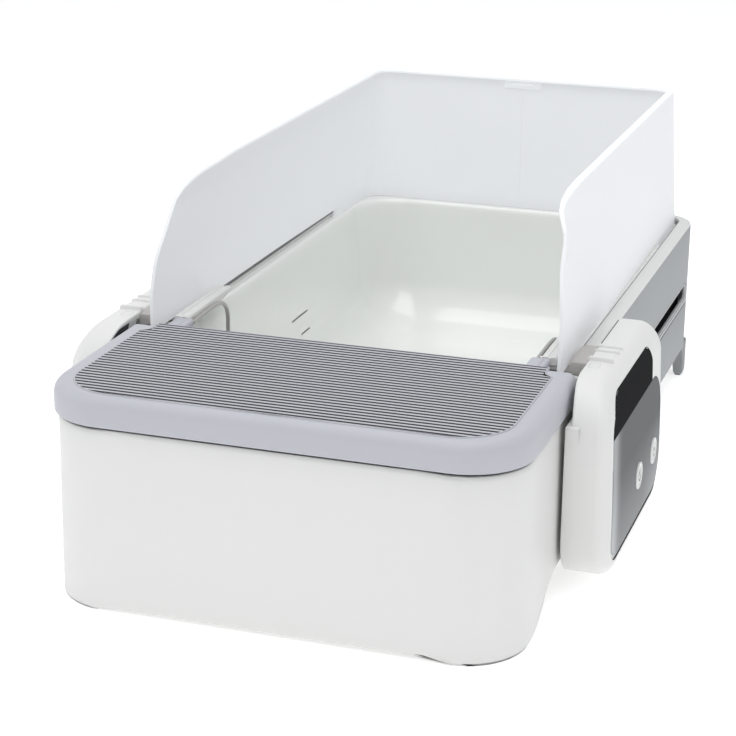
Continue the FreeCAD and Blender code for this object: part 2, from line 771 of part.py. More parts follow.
def guard_half(side):
    """Leaning wall with a swan-neck front edge, a leg on the rail and an inward top lip."""
    p = Piece(f"guard_{side_name(side)}")
    s = "" if side > 0 else "-"
    low = "(tray_ledge + tray_rim + face_gap)"
    wide = f"{s}guard_low_half"
    wide_top = f"{s}guard_top_half"
    seam = f"{s}(face_gap / 2)"
    y0 = back("guard_front")
    y1 = back("guard_back")
    p.slab("XZ", [(seam, low), (wide, low), (wide_top, "guard_top"), (seam, "guard_top")], y0, y1)
    inner = f"{s}(guard_low_half - guard_wall)"
    inner_top = f"{s}(guard_top_half - guard_wall)"
    rise = "((guard_top - guard_lip_tall) - " + low + ") / (guard_top - " + low + ")"
    under = f"{s}(guard_low_half - guard_wall - (guard_low_half - guard_top_half) * {rise})"
    p.cut("XZ", [(seam, low), (inner, low), (under, "guard_top - guard_lip_tall"),
                 (seam, "guard_top - guard_lip_tall")], y0, back("guard_back - guard_wall"))

    def upright(place):
        def wanted(edge, ends):
            if len(ends) != 2 or any(abs(e.y - num(place)) > 0.02 for e in ends):
                return False
            return abs(ends[0].z - ends[1].z) > 1 and min(abs(e.x) for e in ends) > 20

        return wanted

    p.round(upright(back("guard_back - guard_wall")), "guard_corner - guard_wall")
    p.round(upright(y1), "guard_corner")
    lip = "(guard_top_half - guard_wall - guard_lip)"
    lip_y = (y0, back("guard_back - guard_wall - guard_lip"))
    opening = rounded((f"-{lip}", lip), lip_y, "(guard_corner - guard_wall - guard_lip)", "high")
    opening = [point for point in opening if (num(point[0]) > 0) == (side > 0)]
    seam_ends = [(seam, lip_y[0]), (seam, lip_y[1])]
    opening = opening + seam_ends[::-1] if side > 0 else opening[:1] + seam_ends + opening[1:]
    p.cut("XY", opening, "guard_top - guard_lip_tall", "guard_top")
    # the swan-neck front edge
    neck = ((222, 262), (228, 270), (233, 282), (243, 302), (257, 306.5), (275, 309), (310, 311), (352, 312))
    curve = [(back(y), str(z)) for y, z in neck]
    near_x, far_x = across(side, "0", "guard_low_half + 4")
    front = [(y0, "guard_top"), (y0, "222"), (back(203), "238"), (back(211), "250")]
    p.cut("YZ", front + curve, near_x, far_x)
    # below the side walls
    p.cut("YZ", box((y0, back("guard_back - guard_corner")), (low, "guard_foot")), near_x, far_x)
    leg = across(side, "guard_low_half - guard_wall", "guard_low_half + 4")
    p.slab("YZ", [(y0, "base_height + cap_thick"), (f"{y0} + guard_leg", "base_height + cap_thick"),
                  (f"{y0} + guard_leg", "215"), (f"{y0} + 6", "225"), (y0, "216")], *leg)
    return keep(p.body.Name, p)


def guard_clip():
    """Clip that bridges the two halves inside the rear wall, under the lip."""
    p = Piece("guard_clip")
    y = back("guard_back - guard_wall")
    z = ("guard_top - guard_lip_tall - clip_tall", "guard_top - guard_lip_tall")
    p.slab("XZ", box(("-clip_width / 2", "clip_width / 2"), z), f"{y} - clip_thick", y)
    p.cut("XZ", box(("-clip_width / 4", "clip_width / 4"), (f"{z[0]} + 3", f"{z[1]} - 3")),
          f"{y} - clip_thick", f"{y} - clip_thick + 1")
    return keep("guard_clip", p)


# Carriage: side pods, drive, bridges and rake carriers

POD_Y = (back("pod_front"), back("pod_rear"))


def pod_shell(side):
    """Side pod shell: open to the inside, with a recess for the outer face."""
    p = Piece(f"pod_shell_{side_name(side)}")
    s = "" if side > 0 else "-"
    outer = f"{s}pod_outer"
    x = across(side, "pod_inner", "pod_outer")
    y0, y1 = POD_Y
    p.slab("YZ", rounded((y0, y1), ("pod_low", "pod_top"), "pod_corner"), *x)
    p.round(in_plane("x", outer), "pod_edge", "Chamfer")
    p.cut("YZ", rounded((f"{y0} + pod_side", f"{y1} - pod_side"), ("pod_low + pod_side", "pod_top - pod_side"),
                        "(pod_corner - pod_side)"), *across(side, "pod_inner", "pod_outer - pod_wall"))
    p.cut("YZ", box((y0, y1), ("pod_step_low", "pod_top")), *across(side, "pod_inner", "pod_inner + pod_step"))
    face = (back("face_front"), back("face_rear"))
    p.cut("YZ", rounded(face, ("face_low", "face_top"), "face_corner"),
          *across(side, "pod_outer - face_deep", "pod_outer"))
    if side > 0:
        for place in ("button_first", "button_second"):
            p.cut("YZ", ("circle", (back(place), "button_height"), "button_radius + face_gap"),
                  *across(side, "pod_outer - pod_wall - 1", "pod_outer"))
    well = across(side, "catch_inner - face_gap", "catch_inner + catch_width + face_gap")
    p.cut("XY", box(well, (back("catch_front - face_gap"), back("catch_rear + catch_travel + face_gap"))),
          "pod_top - catch_deep", "pod_top")
    return keep(p.body.Name, p)


def pod_inner_cover(side):
    """Stepped plate that closes the pod towards the base; the shoes and the shaft pass it."""
    p = Piece(f"pod_inner_cover_{side_name(side)}")
    gap = "(pod_side + face_gap)"
    y = (f"{POD_Y[0]} + {gap}", f"{POD_Y[1]} - {gap}")
    low = f"(pod_low + {gap})"
    top = f"(pod_top - {gap})"
    turn = f"(pod_corner - {gap})"
    p.slab("YZ", rounded(y, (low, "pod_step_low"), turn, "low"),
           *across(side, "pod_inner", "pod_inner + cover_thick"))
    p.slab("YZ", box((f"{y[0]} + 2 * cover_thick", f"{y[1]} - 2 * cover_thick"),
                     ("pod_step_low - cover_thick", "pod_step_low")),
           *across(side, "pod_inner + cover_thick", "pod_inner + pod_step + cover_thick"))
    p.slab("YZ", rounded(y, (f"{top} - {turn} - 1", top), turn, "high"),
           *across(side, "pod_inner + pod_step", "pod_inner + pod_step + cover_thick"))
    p.cut("YZ", ("circle", (back("drive_place"), GEAR_HEIGHT), "shaft_radius + running_gap"),
          *across(side, "pod_inner", "pod_inner + cover_thick"))
    return keep(p.body.Name, p)


def face_plate(name, side, z, corners):
    """Flat plate in the pod's face recess."""
    p = Piece(name)
    y = (back("face_front + face_gap"), back("face_rear - face_gap"))
    p.slab("YZ", rounded(y, z, "(face_corner - face_gap)", corners),
           *across(side, "pod_outer - face_deep", "pod_outer + face_proud"))
    return p


def control_panel():
    """Brushed plate around the two buttons."""
    p = face_plate("control_panel", 1, ("(face_low + face_gap)", "face_split"), "low")
    for place in ("button_first", "button_second"):
        p.cut("YZ", ("circle", (back(place), "button_height"), "button_radius + face_gap"),
              "pod_outer - face_deep", "pod_outer + face_proud")
    return keep("control_panel", p)


def sensor_window():
    """Dark glossy window over the presence sensors."""
    z = ("(face_split + face_gap)", "(face_top - face_gap)")
    return keep("sensor_window", face_plate("sensor_window", 1, z, "high"))


def pod_outer_panel_left():
    """Plain plate on the pod without controls."""
    z = ("(face_low + face_gap)", "(face_top - face_gap)")
    return keep("pod_outer_panel_left", face_plate("pod_outer_panel_left", -1, z, "low high"))


def button(name, place):
    """Round button with a stem that reaches the switch on the board."""
    p = Piece(name)
    centre = (back(place), "button_height")
    outer = "pod_outer + face_proud + button_proud"
    p.slab("YZ", ("circle", centre, "button_radius"), f"{outer} - button_tall", outer)
    p.slab("YZ", ("circle", centre, "button_radius / 4"),
           "board_place + board_thick + switch_tall + button_travel + face_gap", f"{outer} - button_tall")
    p.round(in_plane("x", outer), "face_edge", "Chamfer")
    return keep(name, p)


def circuit_board():
    """Control board with two switches, its chip and the posts that hold it to the cover."""
    p = Piece("circuit_board")
    y = (back("button_first - 34"), back("button_second + 18"))
    p.slab("YZ", box(y, ("button_height - 28", "button_height + 26")), "board_place", "board_place + board_thick")
    for place in ("button_first", "button_second"):
        p.slab("YZ", box((back(f"{place} - 4"), back(f"{place} + 4")), ("button_height - 4", "button_height + 4")),
               "board_place + board_thick", "board_place + board_thick + switch_tall")
    p.slab("YZ", box((back("button_first - 28"), back("button_first - 14")),
                     ("button_height - 8", "button_height + 8")), "board_place + board_thick",
           "board_place + board_thick + 1.5")
    for place in (back("button_first - 29"), back("button_second + 13")):
        p.slab("YZ", ("circle", (place, "button_height - 22"), "3"), "pod_inner + cover_thick", "board_place")
    return keep("circuit_board", p)


def gear_motor(side):
    """Gearbox on the cover with the motor can behind it; bored for the pinion's shaft."""
    p = Piece(f"gear_motor_{side_name(side)}")
    centre = (back("drive_place"), GEAR_HEIGHT)
    low = "(pod_inner + cover_thick)"
    p.slab("YZ", box((back("drive_place - 16"), back("drive_place + 26")),
                     (f"{GEAR_HEIGHT} - 14", f"{GEAR_HEIGHT} + 24")), *across(side, low, f"{low} + 11"))
    p.slab("YZ", ("circle", (back("drive_place + 6"), f"{GEAR_HEIGHT} + 6"), "13"),
           *across(side, f"{low} + 11", "board_place - 1.5"))
    p.cut("YZ", ("circle", centre, "shaft_radius + running_gap"), *across(side, low, f"{low} + 10"))
    return keep(p.body.Name, p)


def guide_shoes(side):
    """Two shoes that slide in the side slot and carry the pod."""
    p = Piece(f"guide_shoes_{side_name(side)}")
    for place in ("shoe_first", "shoe_second"):
        y = (back(f"{place} - shoe_length / 2"), back(f"{place} + shoe_length / 2"))
        z = ("slot_low + slide_gap", "slot_low + slot_tall - slide_gap")
        p.slab("YZ", box(y, z), *across(side, "chassis_half + web_thick + slide_gap", "pod_inner"))
        flange = (f"{z[0]} - 5", f"{z[1]} + 5")
        p.slab("YZ", box((f"{y[0]} - 4", f"{y[1]} + 4"), flange), *across(side, "pod_inner - 3", "pod_inner"))
    return keep(p.body.Name, p)


def bridge(side):
    """Block that reaches from the pod over the rail."""
    p = Piece(f"bridge_{side_name(side)}")
    y = (back("bridge_front"), back("bridge_rear"))
    p.slab("YZ", box(y, ("base_height + cap_thick + slide_gap", "bridge_top")),
           *across(side, "bridge_inner", "pod_inner + pod_step"))
    p.cut("YZ", box(y, ("base_height + cap_thick", "bridge_low + plate_thick")),
          *across(side, "bridge_inner", "bridge_inner + 10"))
    s = "" if side > 0 else "-"
    p.round(along("y", x=[f"{s}bridge_inner"], z=["bridge_top"]), "3")
    return keep(p.body.Name, p)


def bridge_plate(side):
    """Steel plate that passes under the guard."""
    p = Piece(f"bridge_plate_{side_name(side)}")
    x = across(side, "carrier_inner", "bridge_inner + 10")
    y = (back("bridge_front"), back("bridge_rear"))
    p.slab("XY", box(x, y), "bridge_low", "bridge_low + plate_thick")
    for place in ("bridge_front + 12", "bridge_front + 32"):
        slot = across(side, "carrier_outer + 1", "bridge_inner - 2")
        p.cut("XY", box(slot, (back(place), back(f"{place} + 6"))), "bridge_low", "bridge_low + plate_thick")
    return keep(p.body.Name, p)


def rake_carrier(side):
    """Bar inside the guard that holds the rake's arm."""
    p = Piece(f"rake_carrier_{side_name(side)}")
    x = across(side, "carrier_inner", "carrier_outer")
    y = (back("carrier_front"), back("carrier_rear"))
    low = "(bridge_low + plate_thick)"
    p.slab("XY", box(x, y), low, "carrier_top")
    p.cut("YZ", [(y[1], low), (y[1], "carrier_top"), (f"{y[1]} - 30", low)], *x)
    s = "" if side > 0 else "-"
    p.round(along("y", x=[f"{s}carrier_inner"], z=["carrier_top"]), "3")
    return keep(p.body.Name, p)


def rake_arm(side):
    """Bent steel rod from the carrier down to the rake's eye."""
    name = f"rake_arm_{side_name(side)}"
    x = num(f"arm_place * {side}")
    root = num(f"carrier_inner * {side}")
    z = num("arm_height")
    bend = num("arm_bend")
    far = num(back("axis_back"))
    near_y = num(back("arm_root"))
    points = [FreeCAD.Vector(x, near_y, z), FreeCAD.Vector(x, far - bend, z), FreeCAD.Vector(x, far, z - bend)]
    low = FreeCAD.Vector(x, far, num("axis_height + eye_radius - 1"))
    turn = [math.radians(18 * i) for i in range(1, 5)]
    points[2:2] = [FreeCAD.Vector(x, far - bend + bend * math.sin(a), z - bend + bend * math.cos(a)) for a in turn]
    path = Part.makePolygon(points + [low])
    corner = [math.radians(22.5 + 45 * i) for i in range(9)]
    ring = [points[0] + FreeCAD.Vector(math.cos(a), 0, math.sin(a)) * num("arm_radius") for a in corner]
    rod = path.makePipeShell([Part.makePolygon(ring)], True, False, 1)
    stub = Part.makeCylinder(num("arm_radius"), abs(root - x), points[0] + FreeCAD.Vector(0, 3, 0),
                             FreeCAD.Vector(1 if side > 0 else -1, 0, 0))
    side_x = x - num("eye_thick") / 2
    centre = FreeCAD.Vector(side_x, num(back("axis_back")), num("axis_height"))
    eye = Part.makeCylinder(num("eye_radius"), num("eye_thick"), centre, FreeCAD.Vector(1, 0, 0))
    bore = Part.makeCylinder(num("rake_radius + running_gap"), num("eye_thick"), centre,
                             FreeCAD.Vector(1, 0, 0))
    feature = doc.addObject("Part::Feature", name)
    feature.Shape = rod.fuse([stub, eye]).cut(bore).removeSplitter()
    return keep(name, feature)


def release_catch(side):
    """Sliding catch on the pod's top with two raised finger bars."""
    p = Piece(f"release_catch_{side_name(side)}")
    x = across(side, "catch_inner", "catch_inner + catch_width")
    y = (back("catch_front"), back("catch_rear"))
    p.slab("XY", box(x, y), "pod_top - catch_deep", "pod_top + 0.6")
    for low in (y[0] + " + 3", y[1] + " - 8"):
        p.slab("XY", box((f"{x[0]} + 2", f"{x[1]} - 2"), (low, low + " + 5")), "pod_top + 0.6", "pod_top + 2.4")
    return keep(p.body.Name, p)


def drive_pinion(side):
    """Spur pinion with involute flanks, and its shaft."""
    name = f"drive_pinion_{side_name(side)}"
    teeth = int(num("pinion_teeth"))
    module = num("gear_module")
    pitch_r = teeth * module / 2
    base_r = pitch_r * math.cos(math.radians(20))
    tip_r = pitch_r + module
    root_r = pitch_r - 1.25 * module
    half = math.pi / 2 / teeth - num("backlash") / 2 / pitch_r
    spread = half + math.tan(math.radians(20)) - math.radians(20)

    def flank(radius):
        if radius <= base_r:
            return spread
        turn = math.acos(base_r / radius)
        return spread - (math.tan(turn) - turn)

    centre_y = num(back("drive_place"))
    centre_z = num(GEAR_HEIGHT)
    radii = [root_r, base_r, pitch_r - module / 3, pitch_r + module / 3, tip_r]
    outline = []
    for i in range(teeth):
        middle = -math.pi / 2 + 2 * math.pi * i / teeth
        outline += [(r, middle - flank(r)) for r in radii]
        outline += [(r, middle + flank(r)) for r in reversed(radii)]
    x = num(across(side, "pinion_inner", "pinion_inner + pinion_thick")[0])
    spots = [FreeCAD.Vector(x, centre_y + r * math.cos(a), centre_z + r * math.sin(a)) for r, a in outline]
    gear = Part.Face(Part.makePolygon(spots + spots[:1])).extrude(FreeCAD.Vector(num("pinion_thick"), 0, 0))
    start = num(across(side, "pinion_inner", "pinion_inner + shaft_reach")[0])
    shaft = Part.makeCylinder(num("shaft_radius"), num("shaft_reach"),
                              FreeCAD.Vector(start, centre_y, centre_z), FreeCAD.Vector(1, 0, 0))
    feature = doc.addObject("Part::Feature", name)
    feature.Shape = gear.fuse(shaft)
    return keep(name, feature)


# Rake

def rake_shaft():
    p = Piece("rake_shaft")
    reach = "(arm_place + eye_thick / 2 + 2)"
    p.slab("YZ", ("circle", (back("axis_back"), "axis_height"), "rake_radius"), f"-{reach}", reach)
    return keep("rake_shaft", p)


def rake_tines():
    """Comb of hairpin tines, drawn hanging straight down and then turned up to its rest place."""
    p = Piece("rake_tines")
    middle = back("axis_back")
    y = (f"{middle} - tine_radius", f"{middle} + tine_radius")
    span = "((tine_count - 1) * tine_pitch / 2)"
    brace = "(axis_height - 15)"
    p.slab("XZ", box((f"-{span}", span), (f"{brace} - 2 * tine_radius", brace)), *y)
    count = int(num("tine_count"))
    for i, short in ((0, "tine_short"), (count - 1, "tine_short"), (1, "0")):
        x = f"({i} * tine_pitch - {span})"
        tip = f"(axis_height - tine_length + {short})"
        gap = "(tine_gap / 2)"
        leg = "(tine_gap / 2 + 2 * tine_radius)"
        hairpin = [(f"{x} - {leg}", "axis_height"), (f"{x} - {leg}", f"{tip} + tine_radius"),
                   (f"{x} - {leg} / 2", tip), (f"{x} + {leg} / 2", tip),
                   (f"{x} + {leg}", f"{tip} + tine_radius"), (f"{x} + {leg}", "axis_height"),
                   (f"{x} + {gap}", "axis_height"), (f"{x} + {gap}", f"{tip} + 2 * tine_radius"),
                   (f"{x} - {gap}", f"{tip} + 2 * tine_radius"), (f"{x} - {gap}", "axis_height")]
        tine = p.slab("XZ", hairpin, *y)
    p.row([tine], "H_Axis", f"{count - 3} * tine_pitch", count - 2)
    p.cut("YZ", ("circle", (middle, "axis_height"), "rake_radius"), f"-({span} + 10)", f"{span} + 10")
    centre = FreeCAD.Vector(0, num(middle), num("axis_height"))
    turn = FreeCAD.Rotation(FreeCAD.Vector(1, 0, 0), -(90 + num("home_tilt")))
    p.body.Placement = FreeCAD.Placement(FreeCAD.Vector(), turn, centre)
    return keep("rake_tines", p)


def make_all():
    chassis()
    foot_pads()
    dc_socket()
    litter_tray()
    front_housing()
    waste_bin()
    lid_frame()
    step_mat()
    lid_hinge_pins()
    guard_clip()
    control_panel()
    sensor_window()
    pod_outer_panel_left()
    circuit_board()
    button("power_button", "button_first")
    button("clean_button", "button_second")
    rake_shaft()
    rake_tines()
    for side in (1, -1):
        for make in (rail, side_panel, rack, guard_half, pod_shell, pod_inner_cover, gear_motor, guide_shoes,
                     bridge, bridge_plate, rake_carrier, rake_arm, release_catch, drive_pinion):
            make(side)


def check_and_write():
    """Refuses to write anything while one object or shape is faulty."""
    doc.recompute()
    faults = []
    for thing in doc.Objects:
        if any(word in thing.State for word in ("Invalid", "Error")):
            faults.append(f"{thing.Name}: {thing.State}")
    shapes = {}
    for name, thing in pieces.items():
        shape = thing.body.Shape if isinstance(thing, Piece) else thing.Shape
        if shape.isNull() or not shape.isValid() or not shape.Solids:
            faults.append(f"{name}: not a valid solid")
        shapes[name] = shape
    if faults:
        raise ValueError("; ".join(faults))
    triangles = 0
    for name, shape in shapes.items():
        shape.exportStep(f"parts/{name}.step")
        triangles += len(shape.tessellate(0.3)[1])
        b = shape.BoundBox
        print(f"{name}: {len(shape.Solids)} solids, {shape.Volume:.0f} mm3, "
              f"x {b.XMin:.1f}..{b.XMax:.1f} y {b.YMin:.1f}..{b.YMax:.1f} z {b.ZMin:.1f}..{b.ZMax:.1f}")
    print(len(shapes), "pieces,", triangles, "triangles")


make_all()
check_and_write()
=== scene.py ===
import math

import bmesh
import bpy
from mathutils import Matrix, Vector


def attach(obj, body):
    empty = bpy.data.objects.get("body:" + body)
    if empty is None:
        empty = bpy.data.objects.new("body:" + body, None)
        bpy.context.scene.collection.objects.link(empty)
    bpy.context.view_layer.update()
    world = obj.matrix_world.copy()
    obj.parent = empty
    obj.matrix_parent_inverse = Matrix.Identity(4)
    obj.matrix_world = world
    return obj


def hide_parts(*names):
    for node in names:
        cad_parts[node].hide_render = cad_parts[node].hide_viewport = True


# Self-cleaning litter box: looks around the fixed frame. Metres; X right, Y back, Z up.

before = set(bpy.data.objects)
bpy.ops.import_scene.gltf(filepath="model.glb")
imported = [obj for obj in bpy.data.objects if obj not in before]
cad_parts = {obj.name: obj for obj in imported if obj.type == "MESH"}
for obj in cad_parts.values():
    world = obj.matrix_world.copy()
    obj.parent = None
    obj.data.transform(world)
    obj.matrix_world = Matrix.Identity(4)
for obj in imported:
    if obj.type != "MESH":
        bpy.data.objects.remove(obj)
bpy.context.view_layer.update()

MM = 0.001
FRONT = -393.5

# Sizes that several pieces share, in millimetres. Depths count from the lid's front face.
BASE_HALF, BASE_CORNER, BASE_END = 195, 42, 787
PANEL_FRONT, PANEL_REAR, PANEL_WRAP = 201.5, 744, 150
LID_TOP = 185.0
RAKE_DEEP, RAKE_HIGH = 309, 136.0
SQUARE = [0.01] * 4


def y_of(value):
    """A place along Y from its distance behind the lid's front face."""
    return value + FRONT


# Mesh helpers: every list of points is in millimetres, and a shape is a pair (points, faces)

def mesh_object(name, shape, material, angle, body, replaces=()):
    """A piece that rides on a body. Edges sharper than the angle stay sharp; 0 leaves all faces flat."""
    points, faces = shape
    mesh = bpy.data.meshes.new(name)
    mesh.from_pydata([(x * MM, y * MM, z * MM) for x, y, z in points], [], faces)
    bm = bmesh.new()
    bm.from_mesh(mesh)
    bmesh.ops.remove_doubles(bm, verts=bm.verts, dist=1e-6)
    bmesh.ops.recalc_face_normals(bm, faces=bm.faces)
    bm.to_mesh(mesh)
    bm.free()
    if angle:
        mesh.shade_smooth()
        mesh.set_sharp_from_angle(angle=math.radians(angle))
    obj = bpy.data.objects.new(name, mesh)
    bpy.context.scene.collection.objects.link(obj)
    mesh.materials.append(material)
    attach(obj, body)
    if replaces:
        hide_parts(*replaces)
    return obj


def loft(rings, cap_first=True, cap_last=True, closed=True):
    """Faces between rings that all have the same number of points."""
    points = [p for ring in rings for p in ring]
    count = len(rings[0])
    faces = []
    for i in range(len(rings) - 1):
        for j in range(count if closed else count - 1):
            k = (j + 1) % count
            faces.append((i * count + j, i * count + k, (i + 1) * count + k, (i + 1) * count + j))
    if cap_first:
        faces.append(tuple(range(count)))
    if cap_last:
        faces.append(tuple((len(rings) - 1) * count + j for j in range(count)))
    return points, faces


def open_loft(rings):
    """A loft between closed rings without its two ends."""
    return loft(rings, False, False)


def sheet(rows):
    """A loft between open rows of points."""
    return loft(rows, False, False, closed=False)


def quad(*points):
    """One face with four corners."""
    return list(points), [(0, 1, 2, 3)]


def join(*parts):
    """Puts several shapes into one."""
    points, faces = [], []
    for p, f in parts:
        start = len(points)
        points += list(p)
        faces += [tuple(i + start for i in face) for face in f]
    return points, faces


def flat(ring, z, side=1):
    """Lays (x, y) points at one height."""
    return [(side * x, y, z) for x, y in ring]


def sideways(ring, x, side=1):
    """Stands (y, z) points up at one place along X."""
    return [(side * x, y, z) for y, z in ring]


def upright(ring, y, side=1):
    """Stands (x, z) points up at one place along Y."""
    return [(side * x, y, z) for x, z in ring]


def quarter(x, y, radius, steps, first=0):
    """Points on a quarter circle about (x, y), from +X to +Y."""
    turns = [math.pi / 2 * i / steps for i in range(first, steps + 1)]
    return [(x + radius * math.cos(a), y + radius * math.sin(a)) for a in turns]


def rounded_ring(u0, u1, v0, v1, radii, steps):
    """Points around a rectangle; radii at (u0,v0), (u1,v0), (u1,v1), (u0,v1)."""
    corners = [(u0, v0, 1, 1, 180), (u1, v0, -1, 1, 270), (u1, v1, -1, -1, 0), (u0, v1, 1, -1, 90)]
    points = []
    for (u, v, su, sv, start), r in zip(corners, radii):
        for i in range(steps + 1):
            a = math.radians(start + 90 * i / steps)
            points.append((u + su * r + r * math.cos(a), v + sv * r + r * math.sin(a)))
    return points


def ring_about(u, v, half, radius, steps):
    """A rounded square about one point."""
    return rounded_ring(u - half, u + half, v - half, v + half, [radius] * 4, steps)


def inset_ring(box, radii, inset, steps):
    """A rounded rectangle drawn in by an inset; its corners shrink with it."""
    u0, u1, v0, v1 = box
    return rounded_ring(u0 + inset, u1 - inset, v0 + inset, v1 - inset,
                        [max(r - inset, 0.4) for r in radii], steps)


def finer(ring, longest):
    """Splits the long sides of a ring of 2-D points."""
    out = []
    for i, a in enumerate(ring):
        b = ring[(i + 1) % len(ring)]
        n = max(1, math.ceil(math.dist(a, b) / longest))
        out += [tuple(a[k] + (b[k] - a[k]) * j / n for k in range(len(a))) for j in range(n)]
    return out


def tube(path, radius, sides):
    """A rod along a path of points, with parallel sections."""
    path = [Vector(p) for p in path]
    rings = []
    last = None
    for i, p in enumerate(path):
        direction = (path[min(i + 1, len(path) - 1)] - path[max(i - 1, 0)]).normalized()
        if last is None:
            helper = Vector((0, 0, 1)) if abs(direction.z) < 0.9 else Vector((1, 0, 0))
            across = direction.cross(helper).normalized()
        else:
            across = (last - direction * last.dot(direction)).normalized()
        last = across
        up = direction.cross(across)
        turns = [2 * math.pi * j / sides for j in range(sides)]
        rings.append([tuple(p + (across * math.cos(a) + up * math.sin(a)) * radius) for a in turns])
    return loft(rings)


def smooth_path(points, steps):
    """A Catmull-Rom curve through points."""
    pts = [Vector(p) for p in points]
    pts = [pts[0] * 2 - pts[1]] + pts + [pts[-1] * 2 - pts[-2]]
    out = []
    for i in range(1, len(pts) - 2):
        p0, p1, p2, p3 = pts[i - 1:i + 3]
        for j in range(steps):
            t = j / steps
            out.append(0.5 * ((2 * p1) + (p2 - p0) * t + (2 * p0 - 5 * p1 + 4 * p2 - p3) * t * t
                              + (3 * p1 - p0 - 3 * p2 + p3) * t ** 3))
    out.append(pts[-2])
    return [tuple(p) for p in out]


def slab(side, x, depth, z, edge):
    """A block with rounded edges on one side of the object, given by its depths behind the front."""
    x = sorted((side * x[0], side * x[1]))
    y = [y_of(d) for d in depth]
    steps = 3
    e = min(edge, (x[1] - x[0]) / 2.01, (y[1] - y[0]) / 2.01, (z[1] - z[0]) / 2.01)
    levels = [(e * (1 - math.sin(a)), z[0] + e * (1 - math.cos(a)))
              for a in (math.pi / 2 * i / steps for i in range(steps + 1))]
    levels += [(inset, z[0] + z[1] - height) for inset, height in reversed(levels)]
    rings = []
    for inset, height in levels:
        ring = rounded_ring(x[0] + inset, x[1] - inset, y[0] + inset, y[1] - inset,
                            [max(e - inset, 0.01) + 0.01] * 4, steps)
        rings.append(flat(ring, height))
    return loft(rings)


# Materials

class Sock:
    """A shader value that takes part in arithmetic."""

    def __init__(self, tree, socket):
        self.tree = tree
        self.socket = socket

    def math(self, operation, other, swap=False):
        node = self.tree.nodes.new("ShaderNodeMath")
        node.operation = operation
        for i, value in enumerate((other, self) if swap else (self, other)):
            put(self.tree, value, node.inputs[i])
        return Sock(self.tree, node.outputs[0])

    def __add__(self, other):
        return self.math("ADD", other)

    def __radd__(self, other):
        return self.math("ADD", other, True)

    def __sub__(self, other):
        return self.math("SUBTRACT", other)

    def __rsub__(self, other):
        return self.math("SUBTRACT", other, True)

    def __mul__(self, other):
        return self.math("MULTIPLY", other)

    def __truediv__(self, other):
        return self.math("DIVIDE", other)

    def __pow__(self, other):
        return self.math("POWER", other)

    def __rpow__(self, other):
        return self.math("POWER", other, True)

    def clamp(self):
        return self.math("MAXIMUM", 0.0).math("MINIMUM", 1.0)


def put(tree, value, socket):
    """Links a shader value to a socket, or sets a plain one."""
    if isinstance(value, Sock):
        tree.links.new(value.socket, socket)
    else:
        socket.default_value = value


class Shader:
    """One material: its principled shader and the nodes that feed it."""

    def __init__(self, name, color, roughness, **constants):
        self.material = bpy.data.materials.new(name)
        self.material.use_nodes = True
        self.tree = self.material.node_tree
        self.main = self.tree.nodes["Principled BSDF"]
        self.main.inputs["Base Color"].default_value = (*color, 1)
        self.main.inputs["Roughness"].default_value = roughness
        for key, value in constants.items():
            self.main.inputs[key.replace("_", " ")].default_value = value

    def node(self, kind, out=0, **values):
        """Adds a node with its input values or links, and gives one of its outputs."""
        node = self.tree.nodes.new(kind)
        for key, value in values.items():
            put(self.tree, value, node.inputs[key])
        return Sock(self.tree, node.outputs[out])

    def spot(self):
        """Object-space coordinates in metres."""
        return self.node("ShaderNodeTexCoord", out="Object")

    def place(self):
        """The same coordinates as separate x, y and z."""
        split = self.tree.nodes.new("ShaderNodeSeparateXYZ")
        self.tree.links.new(self.spot().socket, split.inputs[0])
        return [Sock(self.tree, output) for output in split.outputs]

    def noise(self, scale, detail=2.0, vector=None):
        return self.node("ShaderNodeTexNoise", Vector=vector or self.spot(), Scale=scale, Detail=detail)

    def feed(self, name, value):
        put(self.tree, value, self.main.inputs[name])

    def bump(self, height, distance):
        self.feed("Normal", self.node("ShaderNodeBump", Height=height, Distance=distance, Strength=1.0))

    def grey(self, value):
        """A nearly neutral colour of one brightness."""
        node = self.tree.nodes.new("ShaderNodeCombineColor")
        for i, part in enumerate((0.98, 1.0, 1.02)):
            put(self.tree, value * part, node.inputs[i])
        return Sock(self.tree, node.outputs[0])


GRAIN_SCALE, GRAIN_DEPTH = 1800, 0.00002
GLOSS_SCALE, GLOSS_SWING = 9.0, 0.08


def grained(name, color, roughness, **constants):
    """Plastic with a fine grain and slightly uneven gloss."""
    shader = Shader(name, color, roughness, **constants)
    shader.bump(shader.noise(GRAIN_SCALE, 1.0), GRAIN_DEPTH)
    shader.feed("Roughness", roughness - GLOSS_SWING / 2 + shader.noise(GLOSS_SCALE) * GLOSS_SWING)
    return shader.material


def glossy_tray():
    """White plastic with a polished surface."""
    shader = Shader("tray_gloss", (0.82, 0.835, 0.81), 0.12, Coat_Weight=0.4, Coat_Roughness=0.05)
    shader.feed("Roughness", 0.1 + shader.noise(14.0) * 0.06)
    return shader.material


